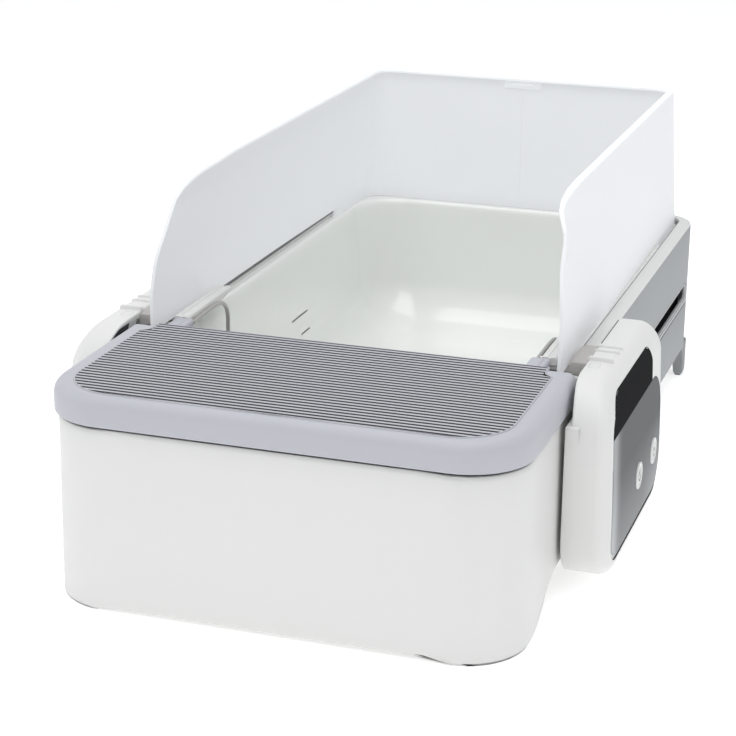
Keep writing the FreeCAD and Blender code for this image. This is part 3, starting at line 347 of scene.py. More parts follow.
def brushed_face_painted_reflection():
    """Silver brushed along Y, with painted reflection that makes it brighter at its front, near its foot and
    at the foot of its rear.
    """
    shader = Shader("face_brushed_painted_reflection", (0.3, 0.3, 0.31), 0.5, Specular_IOR_Level=0.04)
    _, deep, tall = shader.place()
    euler = 2.718
    # Painted highlight and reflection: a bright band at the front, a lighter lower part and a lighter lower
    # rear, in place of what the silver reflects
    highlight_at, highlight_width = MM * y_of(160), 0.016
    front_painted_highlight = euler ** (0 - ((deep - highlight_at) / highlight_width) ** 2)
    low_painted_reflection = ((0.105 - tall) / 0.07).clamp()
    rear_painted_reflection = ((deep - MM * y_of(285)) / 0.06).clamp()
    tone = 0.12 + front_painted_highlight * 0.27 + low_painted_reflection * 0.17 + rear_painted_reflection * low_painted_reflection * 0.13
    stretch = shader.node("ShaderNodeMapping", Vector=shader.spot(), Scale=(60.0, 25.0, 2500.0))
    streak = shader.noise(1.0, 3.0, stretch)
    shader.feed("Base Color", shader.grey(tone * (0.96 + streak * 0.08)))
    shader.bump(streak, GRAIN_DEPTH)
    return shader.material


def cloudy(name, color, roughness, painted_glow, strength, alpha, **constants):
    """Cloudy clear plastic: partly see-through, with faint painted light from its emission in place of the
    light that passes through it.
    """
    shader = Shader(name, color, roughness, Emission_Color=(*painted_glow, 1), Emission_Strength=strength,
                    **constants)
    shader.feed("Alpha", alpha + shader.noise(6.0) * 0.02)
    return shader.material


white = grained("white_plastic", (0.72, 0.72, 0.705), 0.42, Specular_IOR_Level=0.35)
white_inner = grained("white_inner", (0.68, 0.68, 0.67), 0.5)
tray_white = glossy_tray()
lavender = grained("lid_grey", (0.47, 0.475, 0.515), 0.5)
mat_grey = grained("mat_grey", (0.5, 0.505, 0.53), 0.6)
# Near-black painted shade for the floor of the mat's grooves, which are built almost flush
mat_groove_painted_shade = grained("mat_groove_painted_shade", (0.035, 0.035, 0.045), 0.8, Specular_IOR_Level=0.2)
silver = grained("panel_silver", (0.33, 0.345, 0.35), 0.5, Specular_IOR_Level=0.15)
silver_light = grained("strip_silver", (0.44, 0.45, 0.455), 0.5, Specular_IOR_Level=0.2)
silver_dark = grained("foot_silver", (0.22, 0.23, 0.235), 0.5)
# Warm grey painted shade for the bridge block, which sits in shade between the pod and the guard
bridge_painted_shade = grained("bridge_painted_shade", (0.44, 0.42, 0.41), 0.5)
black = grained("slot_black", (0.012, 0.012, 0.013), 0.7, Specular_IOR_Level=0.2)
window_black = Shader("window_black", (0.027, 0.027, 0.028), 0.6, Specular_IOR_Level=0.0).material
# Near-black painted shade for the inside of the pod's hollow
hollow_painted_shade = grained("hollow_painted_shade", (0.06, 0.06, 0.066), 0.7, Specular_IOR_Level=0.2)
steel = Shader("steel", (0.42, 0.41, 0.4), 0.3, Metallic=1.0).material
icon_grey = grained("icon_grey", (0.16, 0.16, 0.17), 0.5)
line_grey = grained("line_grey", (0.5, 0.5, 0.49), 0.5)
mark_grey = grained("mark_grey", (0.1, 0.1, 0.1), 0.5)
rubber = grained("pad_rubber", (0.05, 0.05, 0.05), 0.8)
motor_grey = grained("motor_grey", (0.3, 0.3, 0.31), 0.4, Metallic=0.6)
board_green = grained("board_green", (0.03, 0.14, 0.06), 0.5)
brushed = brushed_face_painted_reflection()
# The guard's emission (0.2, and 0.24 on the rim) is painted light in place of light passing through the
# frosted walls
frosted = cloudy("guard_frosted", (0.7, 0.71, 0.72), 0.5, (0.97, 0.98, 1), 0.2, 0.8, Specular_IOR_Level=0.15)
frosted_edge = cloudy("guard_edge", (0.72, 0.73, 0.74), 0.45, (0.98, 0.99, 1), 0.24, 0.86)


# Base: tub, rear wall, feet, rails and side panels

def side_name(side):
    return "right" if side > 0 else "left"


def side_curve(inset, front):
    """Plan of the base's side: from the front to the end of the rear corner."""
    wide, end, radius = BASE_HALF - inset, y_of(BASE_END) - inset, BASE_CORNER - inset
    start = y_of(front)
    points = [(wide, start + (end - radius - start) * i / 24) for i in range(25)]
    return points + quarter(wide - radius, end - radius, radius, 12, 1)


def tub():
    """The white tub between the panels, drawn in at the rear corners where the panels wrap it."""
    half, front, rear, corner = 183.5, 202, 785, 40

    def plan(wide, inset):
        radius = corner - inset
        right = [(half - inset, y_of(front)), (half - inset, y_of(PANEL_REAR)),
                 (wide - inset, y_of(PANEL_REAR + 0.2))]
        right += quarter(wide - inset - radius, y_of(rear) - inset - radius, radius, 12)
        return right + [(-x, y) for x, y in reversed(right)]

    # height, half width at the rear, inset
    levels = ((22.0, 184, 6.0), (22.6, 184, 3.5), (25, 184, 1.0), (29, 184, 0.0), (38.0, 184, 0.0),
              (38.2, 192.5, 0.0), (171.0, 192.5, 0.0), (171.0, 192.5, 3.0), (120.0, 192.5, 3.0))
    rings = [flat(plan(wide, inset), z) for z, wide, inset in levels]
    mesh_object("tub_skin", loft(rings, True, False), white, 40, "base", ["chassis"])


def rear_plate():
    """The rear face between the wrapped panels, with the round hole of the inlet."""
    y = y_of(BASE_END)
    half, low, high, turned = 149.95, 37.0, 171.0, 3
    inlet_x, inlet_z, bore, deep, margin = -120, 60, 6.2, 6, 20
    left, right, under, over = inlet_x - margin, inlet_x + margin, inlet_z - margin, inlet_z + margin
    square = ring_about(inlet_x, inlet_z, margin, 0.01, 8)
    hole = ring_about(inlet_x, inlet_z, bore, bore, 8)
    parts = [open_loft([upright(square, y), upright(hole, y), upright(hole, y - deep)])]
    for x0, x1, z0, z1 in ((-half, left, low, high), (right, half, low, high),
                           (left, right, low, under), (left, right, over, high)):
        parts.append(quad((x0, y, z0), (x1, y, z0), (x1, y, z1), (x0, y, z1)))
    for z in (low, high):
        parts.append(quad((-half, y, z), (half, y, z), (half, y - turned, z), (-half, y - turned, z)))
    mesh_object("rear_face", join(*parts), white, 0, "base")


def rear_foot(side):
    """Foot that narrows towards the floor, with a rubber pad."""
    outer, rear = 193.5, 782
    rings = []
    # height, inner side, front, inset
    for z, inner, front, inset in ((38.5, 166, 744, 0.0), (33, 172, 750, 0.0), (27, 179, 755, 0.0),
                                   (18, 182, 758, 0.0), (6, 183, 760, 0.0), (3, 183, 760, 0.5),
                                   (1.2, 183, 760, 1.6), (0.8, 183, 760, 2.6)):
        ring = rounded_ring(inner + inset, outer - inset, y_of(front) + inset, y_of(rear) - inset,
                            (2, 2, 8, 2), 6)
        rings.append(flat(ring, z, side))
    mesh_object(f"foot_skin_{side_name(side)}", loft(rings), silver_dark, 40, "base")
    mesh_object(f"pad_skin_{side_name(side)}", slab(side, (185, 191), (762, 778), (0, 3.2), 0.6), rubber, 40,
                "base", ["foot_pads"] if side > 0 else [])


def rail(side):
    """White strip that caps the side and turns the rear corner, with the dark web behind the slot."""
    name = side_name(side)
    inner_half, turn, turn_at = 181, 25, y_of(755)
    start, low, top = y_of(PANEL_FRONT), 171.1, 174
    outer = side_curve(0.2, PANEL_FRONT)
    inner = [(inner_half, start + (turn_at - start) * i / 24) for i in range(25)]
    inner += quarter(inner_half - turn, turn_at, turn, 12, 1)
    for i in range(1, 9):
        outer.append((153 - 152.8 * i / 8, y_of(BASE_END) - 0.2))
        inner.append((156 - 155.8 * i / 8, y_of(780)))
    rings = []
    for (xo, yo), (xi, yi) in zip(outer, inner):
        long = math.dist((xo, yo), (xi, yi))
        ux, uy = (xi - xo) / long, (yi - yo) / long
        spots = ((0, low), (0, 173.3), (0.25, 173.8), (0.8, top),
                 (long - 0.5, top), (long, 173.6), (long, low))
        rings.append([(side * (xo + ux * u), yo + uy * u, z) for u, z in spots])
    mesh_object(f"rail_skin_{name}", loft(rings), white, 40, "base", [f"rail_{name}"])
    length = (PANEL_FRONT, PANEL_REAR)
    web = join(slab(side, (184, 186.5), length, (85.5, 171), 0.3),
               slab(side, (184, 192.4), length, (85.5, 87.8), 0.3))
    mesh_object(f"rail_web_{name}", web, black, 40, "base")
    gap = slab(side, (180.5, 181.2), (206, 752), (171.5, 174.05), 0.15)
    mesh_object(f"rail_gap_{name}", gap, icon_grey, 40, "base")


def side_panel(side):
    """Silver panel that wraps the rear corner, with a seam, a slot and a raised frame round the slot."""
    name = side_name(side)
    strip_top, slot_top = 93.2, 114.8

    def wall(key, levels, front, material, replaced=()):
        """One strip round the side; its levels are (height, inset)."""
        rows = [flat(side_curve(inset, front) + [(PANEL_WRAP, y_of(BASE_END) - inset)], z, side)
                for z, inset in levels]
        mesh_object(f"{key}_{name}", sheet(rows), material, 40, "base", replaced)

    def slot(inset):
        """The slot's (y, z) outline, drawn in by an inset."""
        return rounded_ring(y_of(211) + inset, y_of(739) - inset, 94.0 + inset, 114.0 - inset,
                            [9.0 - inset] * 4, 12)

    wall("panel_low", ((37.0, 2.4), (37.0, 0.7), (37.3, 0.25), (38.0, 0), (60, 0), (87.9, 0), (88.3, 0.25),
                       (88.4, 1.2)), PANEL_FRONT, silver, [f"side_panel_{name}"])
    wall("panel_seam", ((88.2, 1.2), (89.8, 1.2)), PANEL_FRONT, black)
    wall("panel_strip", ((89.7, 1.2), (89.7, 0.25), (90.1, 0), (strip_top, 0)), PANEL_FRONT, silver_light)
    wall("panel_high", ((slot_top, 0), (140, 0), (172.6, 0), (173.4, 0.25), (173.7, 0.9)), PANEL_FRONT,
         silver)
    wall("panel_tail", ((strip_top, 0), (slot_top, 0)), PANEL_REAR, silver)
    box = rounded_ring(y_of(PANEL_FRONT), y_of(PANEL_REAR), strip_top, slot_top, SQUARE, 12)
    rings = [sideways(ring, x, side) for ring, x in ((box, BASE_HALF), (slot(0), BASE_HALF),
                                                     (slot(0), 193.6))]
    mesh_object(f"panel_slot_{name}", open_loft(rings), silver, 40, "base")
    # place along X, inset
    section = ((193.4, 0.0), (193.4, 0.7), (194.6, 0.7), (194.95, 1.0), (194.95, 2.5), (194.6, 2.9),
               (192.5, 3.0))
    rings = [sideways(slot(inset), x, side) for x, inset in section]
    mesh_object(f"slot_frame_{name}", open_loft(rings), silver_light, 40, "base")


tub()
rear_plate()
for side in (1, -1):
    rear_foot(side)
    rail(side)
    side_panel(side)


# Front housing

def housing_low(x, y):
    """Height of the housing's lower edge: feet at the front corners, an arch at the sides."""
    corner = 150
    arch = 30 / (1 + math.exp(-(y - y_of(104)) / 8.5))
    foot = 3 * min(max((corner - abs(x)) / 8, 0), 1) if y < y_of(60) else 0
    return max(arch if abs(x) > corner or y > y_of(70) else 0, foot)


def front_housing():
    """White housing with thin walls, a deck inside it and an upright rib at each side."""
    half, y0, y1, top, deck_z = 197, y_of(4), y_of(198.5), 157.3, 34.5

    def section(t, inset, lift=0.0):
        """One ring of the wall; t runs from the lower edge (0) to the top (1)."""
        radii = [53 - inset, 53 - inset, 3, 3]
        out = []
        for x, y in finer(rounded_ring(-half + inset, half - inset, y0 + inset, y1 - inset, radii, 14), 8):
            low = housing_low(x, y) + lift
            if abs(x) > 150:
                x += math.copysign(min(1.5 * (1 - t), 1.0), x)
            out.append((x, y, low + (top - low) * t))
        return out

    rings = [section(0, inset, lift)
             for inset, lift in ((3.0, 6.0), (3.0, 0.0), (1.5, 0.4), (0.5, 1.4), (0.0, 3.0))]
    rings += [section(t, inset)
              for t, inset in ((0.1, 0), (0.25, 0), (0.5, 0), (0.75, 0), (0.97, 0), (0.995, 0.3),
                               (1.0, 0.8), (1.0, 2.6), (0.98, 3.0), (0.3, 3.0))]
    inside = rounded_ring(-half + 2.8, half - 2.8, y0 + 2.8, y1 - 2.8, [50, 50, 2, 2], 14)
    deck = flat(finer(inside, 8), deck_z)
    parts = [open_loft(rings), (deck, [tuple(range(len(deck)))])]
    parts += [slab(side, (190.7, 193.4), (62, 188), (deck_z, 182.2), 0.8) for side in (1, -1)]
    mesh_object("housing_skin", join(*parts), white, 40, "base", ["front_housing"])


front_housing()


# Lid frame and mat

MAT_HALF, MAT_FRONT, MAT_BACK, MAT_CORNER = 183, 9.5, 196, 46


def lid():
    """Step lid with a rounded upper edge, a sunk bed for the mat and two tabs at the rear."""
    box, radii = (-200, 200, y_of(0), y_of(198)), (56, 56, 7, 7)
    notch_x, notch_y = 174.8, y_of(189.5)
    bend, edge, rise = 174, 9.5, 11

    def ring(inset, z):
        """One ring; notches at the rear corners leave room for the guard's legs."""
        return [(x, min(y, notch_y) if abs(x) > notch_x else y, z)
                for x, y in finer(inset_ring(box, radii, inset, 14), 8)]

    rings = [ring(inset, z)
             for inset, z in ((2.6, 172), (2.6, 160.6), (2.0, 160.0), (0.8, 160.1), (0.15, 160.8),
                              (0, 162), (0, 167), (0, bend))]
    for i in range(1, 9):
        a = math.pi / 2 * i / 8
        rings.append(ring(edge * (1 - math.cos(a)), bend + rise * math.sin(a)))
    # the flat top between the rounded edge and the mat
    outer = ring(edge, LID_TOP)
    inner = [(*mat_clamp(x, y, 0), LID_TOP) for x, y, z in outer]
    sunk = [(x, y, LID_TOP - 1) for x, y, z in inner]
    parts = [open_loft(rings), open_loft([outer, inner, sunk])]
    # a tab, the raised field on it, and the shelf in the notch
    for side in (1, -1):
        parts += [slab(side, (152.4, 169.3), (190, 222.5), (177.2, 184.4), 2.2),
                  slab(side, (158.5, 164), (196, 218), (183.9, 184.9), 0.5),
                  slab(side, (174, 198.5), (188, 196.2), (167, 172.5), 0.8)]
    mesh_object("lid_skin", join(*parts), lavender, 40, "lid", ["lid_frame"])


def mat_clamp(x, y, inset):
    """Draws a point in to the mat's outline."""
    half = MAT_HALF - inset
    front_y = y_of(MAT_FRONT) + inset
    u = max(-half, min(half, x))
    v = max(front_y, min(y_of(MAT_BACK) - inset, y))
    radius = MAT_CORNER - inset
    cx = half - radius
    cy = front_y + radius
    if abs(u) > cx and v < cy:
        du, dv = abs(u) - cx, v - cy
        length = math.hypot(du, dv)
        if length > radius:
            u = math.copysign(cx + du / length * radius, u)
            v = cy + dv / length * radius
    # the mat is narrower between the two tabs
    tail, step, slope = 175 - inset, y_of(172), 1.2
    if v > step and abs(u) > tail:
        u = math.copysign(max(tail, half - (v - step) * slope), u)
    return u, v


def mat_half(y, inset):
    """Half the mat's width at one place along Y."""
    low, high = 0.0, 190.0
    for _ in range(30):
        middle = (low + high) / 2
        u, v = mat_clamp(middle, y, inset)
        if abs(u - middle) < 1e-6 and abs(v - y) < 1e-6:
            low = middle
        else:
            high = middle
    return low


def step_mat():
    """Ribbed mat: a near-black ground that paints the shade in the grooves, a border and flat bars that run
    into the border.
    """
    top, ground = 185.75, 185.5
    front_y, back_y = y_of(MAT_FRONT), y_of(MAT_BACK)
    n = 60
    ys = [front_y + 2 + (back_y - front_y - 4) * i / n for i in range(n + 1)]
    points = [(way * mat_half(y, 1.0), y, ground) for way in (-1, 1) for y in ys]
    faces = [(i, i + 1, n + 2 + i, n + 1 + i) for i in range(n)]
    # The ground's near-black colour is painted shade of the grooves
    mesh_object("mat_ground", (points, faces), mat_groove_painted_shade, 40, "lid")
    outline = finer(rounded_ring(-MAT_HALF, MAT_HALF, front_y, back_y, (MAT_CORNER, MAT_CORNER, 1, 1), 16), 6)
    border = [[(*mat_clamp(x, y, inset), z) for x, y in outline]
              for inset, z in ((0.1, 184.2), (0.1, 185.3), (0.4, top), (1.3, top), (1.3, ground - 0.1))]
    mesh_object("mat_border", open_loft(border), lavender, 50, "lid")
    pitch, wide, first = 6.2, 2.9, 5.2
    profile = [(-wide / 2, ground - 0.1), (-wide / 2 + 0.1, top - 0.08), (-wide / 2 + 0.4, top),
               (wide / 2 - 0.4, top), (wide / 2 - 0.1, top - 0.08), (wide / 2, ground - 0.1)]
    ribs = []
    for i in range(int((back_y - front_y - 5) / pitch) + 1):
        y = back_y - first - i * pitch
        ribs.append(loft([[(way * mat_half(y + v, 1.2), y + v, z) for v, z in profile] for way in (-1, 1)]))
    mesh_object("mat_ribs", join(*ribs), mat_grey, 50, "lid", ["step_mat"])


lid()
step_mat()


# Litter tray

TRAY_TURN = 50.0
TRAY_BEND = 81.3


def tray_half(z):
    """Half the tray's width inside, where its walls are straight."""
    return 163 + 8.5 * (z - TRAY_BEND) / 86


def tray_round(z):
    """How far the rounded foot of a wall reaches out at one height."""
    return math.sqrt(max(TRAY_TURN ** 2 - (TRAY_BEND - z) ** 2, 0))


def tray_front(z, sweep):
    """Place of the front wall: an arc about the rake's axis, upright above it."""
    drop = max(RAKE_HIGH - z, 0)
    return y_of(RAKE_DEEP) - math.sqrt(sweep ** 2 - drop * drop)


def tray():
    """Tray with a front wall that follows the rake, a rim that covers the rails, and an outside."""
    steps, floor, sweep = 12, 31.5, 104.5

    def plan(half, y0, y1, near_r, far_r):
        """Rounded rectangle with a fixed number of points on every side."""
        ring = rounded_ring(-half, half, y0, y1, (near_r, near_r, far_r, far_r), steps)
        out = []
        for i, a in enumerate(ring):
            b = ring[(i + 1) % len(ring)]
            n = 24 if (i + 1) % (steps + 1) == 0 else 1
            out += [(a[0] + (b[0] - a[0]) * j / n, a[1] + (b[1] - a[1]) * j / n) for j in range(n)]
        return out

    rings = []
    # the floor and its rounded edges
    for i in range(steps + 1):
        a = math.radians(90 * i / steps)
        out = TRAY_TURN * math.sin(a)
        z = floor + TRAY_TURN * (1 - math.cos(a))
        half = 160 - TRAY_TURN + out + 3.0 * (z - floor) / TRAY_TURN
        back = y_of(762) - TRAY_TURN + out + 1.5 * (z - floor) / TRAY_TURN
        near = max(8.0, 34.0 * math.sin(a))
        far = 20 + 28.0 * math.sin(a)
        rings.append(flat(plan(half, tray_front(z, sweep), back, near, far), z))
    # the walls
    for z in (92, 104, 116, 128, 140, 152, 162):
        back = y_of(763.5) + 2.5 * (z - TRAY_BEND) / 86
        rings.append(flat(plan(tray_half(z), tray_front(z, sweep), back, 34, 48), z))
    # the rounded lip, the rim and its underside
    for grow, z in ((0.3, 165.5), (1.2, 167.2), (2.6, 167.9), (4.0, 168.0)):
        rings.append(flat(plan(171.8 + grow, y_of(204.2) - min(grow, 2.5), y_of(766) + grow,
                               34 + grow, 48 + grow), z))
    rim = plan(180.4, y_of(201.2), y_of(779.5), 2, 29)
    rings += [flat(rim, 168.0), flat(rim, 165.6), flat(plan(174.6, y_of(201.9), y_of(768.6), 33, 50), 165.4)]
    # the outside
    for z, grow in ((120, 2.5), (TRAY_BEND, 2.5), (50, 2.2), (33, 2.2)):
        straight = z >= TRAY_BEND
        foot = tray_half(z) if straight else 110 + tray_round(z)
        back = y_of(763.5) if straight else y_of(712) + tray_round(z)
        rings.append(flat(plan(foot + grow, tray_front(z, 106.5), back + grow, 20, 40), z - 2.2))
    mesh_object("tray_skin", loft(rings), tray_white, 45, "base", ["litter_tray"])


def level_marks():
    """Three plain level lines on the tray's left wall."""
    thick, proud = 1.4, 0.35

    def wall(z):
        half = tray_half(z) if z > TRAY_BEND else 110 + tray_round(z) + 3.0 * (z - 31.3) / TRAY_TURN
        return proud - half

    marks = []
    for z, start, end in ((97.5, 502, 547), (78, 524, 549), (58, 524, 549)):
        low, high = wall(z), wall(z + thick)
        marks.append(quad((low, y_of(start), z), (low, y_of(end), z),
                          (high, y_of(end), z + thick), (high, y_of(start), z + thick)))
    mesh_object("tray_marks", join(*marks), mark_grey, 45, "base")


tray()
level_marks()


# Guard

# (height, half width at the front edge, depth of the front edge): the nose curls in over a hollow neck
FRONT_EDGE = [(174, 183, 197), (200, 183.8, 197.5), (210, 184, 198.5), (218, 183.6, 200), (226, 183.1, 201.3),
              (234, 182.4, 203), (242, 181.5, 205.2), (250, 180.4, 209.5), (258, 179, 214.5),
              (266, 178.1, 219.5), (274, 177.6, 225.5), (282, 177.1, 232), (290, 175.4, 238),
              (298, 171.6, 244), (304, 168.2, 253), (308, 166.6, 271), (310.5, 166, 302), (312, 165.8, 340)]
GUARD_LEVELS = [177.7, 190, 202, 210, 218, 226, 234, 242, 250, 258, 266, 274, 282, 290, 298, 304, 306.5,
                308.2, 309.5, 310.6, 311.4, 311.9]
GUARD_WALL = 3
SKIRT_POINTS = 26


def front_edge(z):
    """Half width and depth of the guard's front edge at one height."""
    for (z0, x0, y0), (z1, x1, y1) in zip(FRONT_EDGE, FRONT_EDGE[1:]):
        if z <= z1:
            f = (z - z0) / (z1 - z0)
            return x0 + (x1 - x0) * f, y0 + (y1 - y0) * f
    return FRONT_EDGE[-1][1:]


def guard_outline(z, inward):
    """Half of the wall's plan at one height, from the front edge to the seam at the rear."""
    t = (z - 168) / (312 - 168)
    half, depth = front_edge(z)
    front_half = half - inward
    rear_half = 176.6 - 9.6 * t - inward
    rear = y_of(778.6) - inward
    radius = max(23.5 - inward, 2)
    front, end = y_of(depth), rear - radius
    points = []
    for i in range(31):
        y = front + (end - front) * (i / 30)
        along = (y - y_of(197)) / (end - y_of(197))
        points.append((front_half + (rear_half - front_half) * along, y))
    points += quarter(rear_half - radius, end, radius, 10, 1)
    for i in range(1, 11):
        points.append(((rear_half - radius) * (1 - i / 10) + 0.15 * i / 10, rear))
    return points


def guard_wall(side):
    """The standing wall with its front edge and seam closed, and the skirt of the rear wall under it."""
    outer = [flat(guard_outline(z, 0), z, side) for z in GUARD_LEVELS]
    inner = [flat(guard_outline(z, GUARD_WALL), min(z, 311.2), side) for z in GUARD_LEVELS]
    rows = outer + inner[::-1]
    points, faces = sheet(rows + rows[:1])
    count = len(outer[0])
    n = len(GUARD_LEVELS)
    for a in range(n - 1):
        corners = (a, a + 1, 2 * n - 2 - a, 2 * n - 1 - a)
        for place in (0, count - 1):
            faces.append(tuple(row * count + place for row in corners))
    bottom, foot = GUARD_LEVELS[0], 168.4
    strip = [flat(guard_outline(z, inward)[-SKIRT_POINTS:], z, side)
             for z, inward in ((bottom, 0.2), (foot, 0.2), (foot, 2.8), (bottom, 2.8))]
    return join((points, faces), sheet(strip))


def guard_rim(side):
    """The thick rim: from the neck over the nose to the seam."""
    path = []
    for z in [t for t in GUARD_LEVELS if t >= 290][:-1]:
        path.append((*guard_outline(z, 0)[0], z))
    top = GUARD_LEVELS[-1]
    path += flat(guard_outline(top, 0), top)
    drop = 2.7
    rings = []
    for i, (x, y, z) in enumerate(path):
        width = 3.2 + 4.6 * min(max((i - 1) / 5, 0), 1)
        a = path[max(i - 1, 0)]
        b = path[min(i + 1, len(path) - 1)]
        d = Vector((b[0] - a[0], b[1] - a[1], 0)).normalized()
        inward = Vector((-d.y, d.x, 0)) if i < len(path) - 1 else Vector((0, -1, 0))
        spots = [(0.1, -drop), (0.1, -0.7), (0.5, -0.15), (1.0, 0.0), (width - 1, 0.0), (width - 0.4, -0.2),
                 (width, -0.8), (width, -drop)]
        rings.append([(side * (x + inward.x * u), y + inward.y * u, z + v) for u, v in spots])
    return loft(rings)


def guard_leg(side):
    """Short leg that stands in the notch of the lid."""
    rings = []
    for z, rear in ((174.2, 210), (174.6, 210.6), (178.2, 211)):
        x = front_edge(z)[0]
        ring = rounded_ring(x - GUARD_WALL, x, y_of(197.1), y_of(rear), [0.8] * 4, 3)
        rings.append(flat(ring, z, side))
    return loft(rings)


for side in (1, -1):
    name = side_name(side)
    mesh_object(f"guard_wall_{name}", guard_wall(side), frosted, 50, "guard", [f"guard_{name}"])
    mesh_object(f"guard_rim_{name}", guard_rim(side), frosted_edge, 50, "guard")
    mesh_object(f"guard_leg_{name}", guard_leg(side), frosted, 50, "guard")
clip = join(slab(1, (-20, 20), (773.6, 775.9), (300.4, 308.6), 0.8),
            slab(1, (-11, 11), (772.9, 774), (303, 306), 0.4))
mesh_object("clip_skin", clip, frosted_edge, 40, "guard", ["guard_clip"])


# Pods: outlines are (y, z) rings, and lean_in gives the place along X of each point

POD = (y_of(140), y_of(368), 19.5, 187.5)
POD_R = (38, 38, 27, 48)
POD_EDGE = 13.0
BUTTONS = {"power_button": 261, "clean_button": 325}
BUTTON_Z = 75.0


def lean_in(x, z):
    """The pod's outer side leans in towards its top, and the whole top leans over the rail."""
    outward = max(0, (x - 203) / 38)
    tilt = max(0, (z - 70) / 122) ** 1.3
    top = max(0, (z - 160) / 27.5) ** 1.5
    return x - outward * 4.2 * tilt - (4 + 4 * outward) * top


def leaned(ring, x, side):
    """Stands a (y, z) outline up so that it follows the pod's lean."""
    return [(side * lean_in(x, z), y, z) for y, z in ring]


def crossing(ring, z):
    """Where a closed (y, z) outline meets a height."""
    found = []
    for i, (y0, z0) in enumerate(ring):
        y1, z1 = ring[(i + 1) % len(ring)]
        if (z0 - z) * (z1 - z) <= 0 and z0 != z1:
            found.append(y0 + (y1 - y0) * (z - z0) / (z1 - z0))
    if not found:
        near = min(ring, key=lambda p: abs(p[1] - z))
        found = [p[0] for p in ring if abs(p[1] - near[1]) < 0.01]
    return min(found), max(found)


def leaning_fill(side, ring, x, low, high, margin=0.0):
    """Fills a (y, z) outline with strips that follow the pod's lean."""
    rows = []
    for i in range(25):
        z = low + (high - low) * i / 24
        start, end = crossing(ring, z)
        row = [(start - margin + (end - start + 2 * margin) * j / 8, z) for j in range(9)]
        rows.append(leaned(row, x, side))
    return sheet(rows)


def pierced_fill(side, ring, x, low, high):
    """Fills the outline like leaning_fill, but leaves a round well for each button."""
    half, bore, deep = 13.5, 12.2, 1.7
    z0, z1 = BUTTON_Z - half, BUTTON_Z + half
    parts = [leaning_fill(side, ring, x, low, z0), leaning_fill(side, ring, x, z1, high)]
    start, end = crossing(ring, BUTTON_Z)
    edges = [start] + [y_of(place) + way * half for place in BUTTONS.values() for way in (-1, 1)] + [end]
    for y0, y1 in zip(edges[::2], edges[1::2]):
        heights = [z0 + 2 * half * i / 6 for i in range(7)]
        parts.append(sheet([leaned(((y0, z), (y1, z)), x, side) for z in heights]))
    for place in BUTTONS.values():
        square = ring_about(y_of(place), BUTTON_Z, half, 0.01, 11)
        circle = ring_about(y_of(place), BUTTON_Z, bore, bore, 11)
        rings = [leaned(square, x, side), leaned(circle, x, side), leaned(circle, x - deep, side)]
        parts.append(open_loft(rings))
    return join(*parts)


def pod(side):
    """Rounded shell that leans in, closed on both sides, with a lower half that stands nearer to the base."""
    name = side_name(side)
    front, rear, low, high = POD
    split, deep_face, top_face = 118, 239.4, 240.72

    def ring(x, inset):
        return leaned(finer(inset_ring(POD, POD_R, inset, 12), 14), x, side)

    rings = [ring(x, inset)
             for x, inset in ((206, 6), (206, 2.0), (206.4, 0.8), (207.4, 0.1), (209, 0), (216, 0))]
    for i in range(10):
        a = math.pi / 2 * i / 9
        rings.append(ring(228 + POD_EDGE * math.sin(a) * 0.985, POD_EDGE * (1 - math.cos(a))))
    inner = inset_ring(POD, POD_R, 6, 12)
    outer = inset_ring(POD, POD_R, POD_EDGE, 12)
    lower = [sideways(inset_ring((front, rear, low, 156.0), (38, 38, 1.5, 1.5), inset, 12), x, side)
             for x, inset in ((201.6, 4), (201.6, 1.2), (202.0, 0.4), (203, -0.02), (213, -0.02))]
    shape = join(open_loft(rings), leaning_fill(side, inner, 206.02, low + 6.2, high - 6.2, 0.4),
                 leaning_fill(side, outer, top_face, split, high - POD_EDGE + 0.6, 0.9),
                 leaning_fill(side, outer, deep_face, low + POD_EDGE - 0.6, split, 0.9),
                 loft(lower, True, False))
    mesh_object(f"pod_skin_{name}", shape, white, 42, "carriage",
                [f"pod_shell_{name}", f"pod_inner_cover_{name}"])


def face_surface(side, name, material, rear, z0, z1, corners, rise=0.0, fill=leaning_fill):
    """A plate that follows the lean of the pod's outer side."""
    box = (y_of(154.5), y_of(rear), z0, z1)
    # place along X, inset
    section = ((238.0, 0), (240.3 + rise, 0), (240.8 + rise, 0.35), (241.0 + rise, 1.0))
    rings = [leaned(finer(inset_ring(box, corners, inset, 12), 14), x, side) for x, inset in section]
    edge = [(y, z) for _, y, z in rings[-1]]
    shape = join(open_loft(rings), fill(side, edge, 241.0 + rise, z0 + 1.0, z1 - 1.0))
    return mesh_object(name, shape, material, 30, "carriage")


for side in (1, -1):
    pod(side)
# The control face's silver carries painted reflection in its colour
panel = face_surface(1, "control_face", brushed, 357, 35.5, 143.5, (27, 27, 34, 0.6), 0.25, pierced_fill)
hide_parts("control_panel")
window = face_surface(1, "window_face", window_black, 318, 112.0, 177.0, (0.6, 0.6, 15, 34))
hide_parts("sensor_window")
plain = face_surface(-1, "plain_face", white_inner, 357, 35.5, 176.0, (27, 27, 27, 27))
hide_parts("pod_outer_panel_left")


# Carriage: bridges, carriers, arms, catches and buttons

def bridge(side):
    """Block that reaches over the rail from the pod, coloured grey as painted shade."""
    name = side_name(side)
    rings = []
    # depth, top, inset
    for depth, top, inset in ((216.2, 182.5, 1.4), (217, 185, 0.5), (219, 186.2, 0.1), (223, 186.8, 0),
                              (259, 186.8, 0), (264, 186.0, 0.2), (265.8, 184.0, 1.2)):
        ring = rounded_ring(185 + inset, 206.3, 174.9, top, (0.4, 0.4, 2.5, 5.5), 6)
        rings.append(upright(ring, y_of(depth), side))
    mesh_object(f"bridge_skin_{name}", loft(rings), bridge_painted_shade, 40, "carriage", [f"bridge_{name}"])


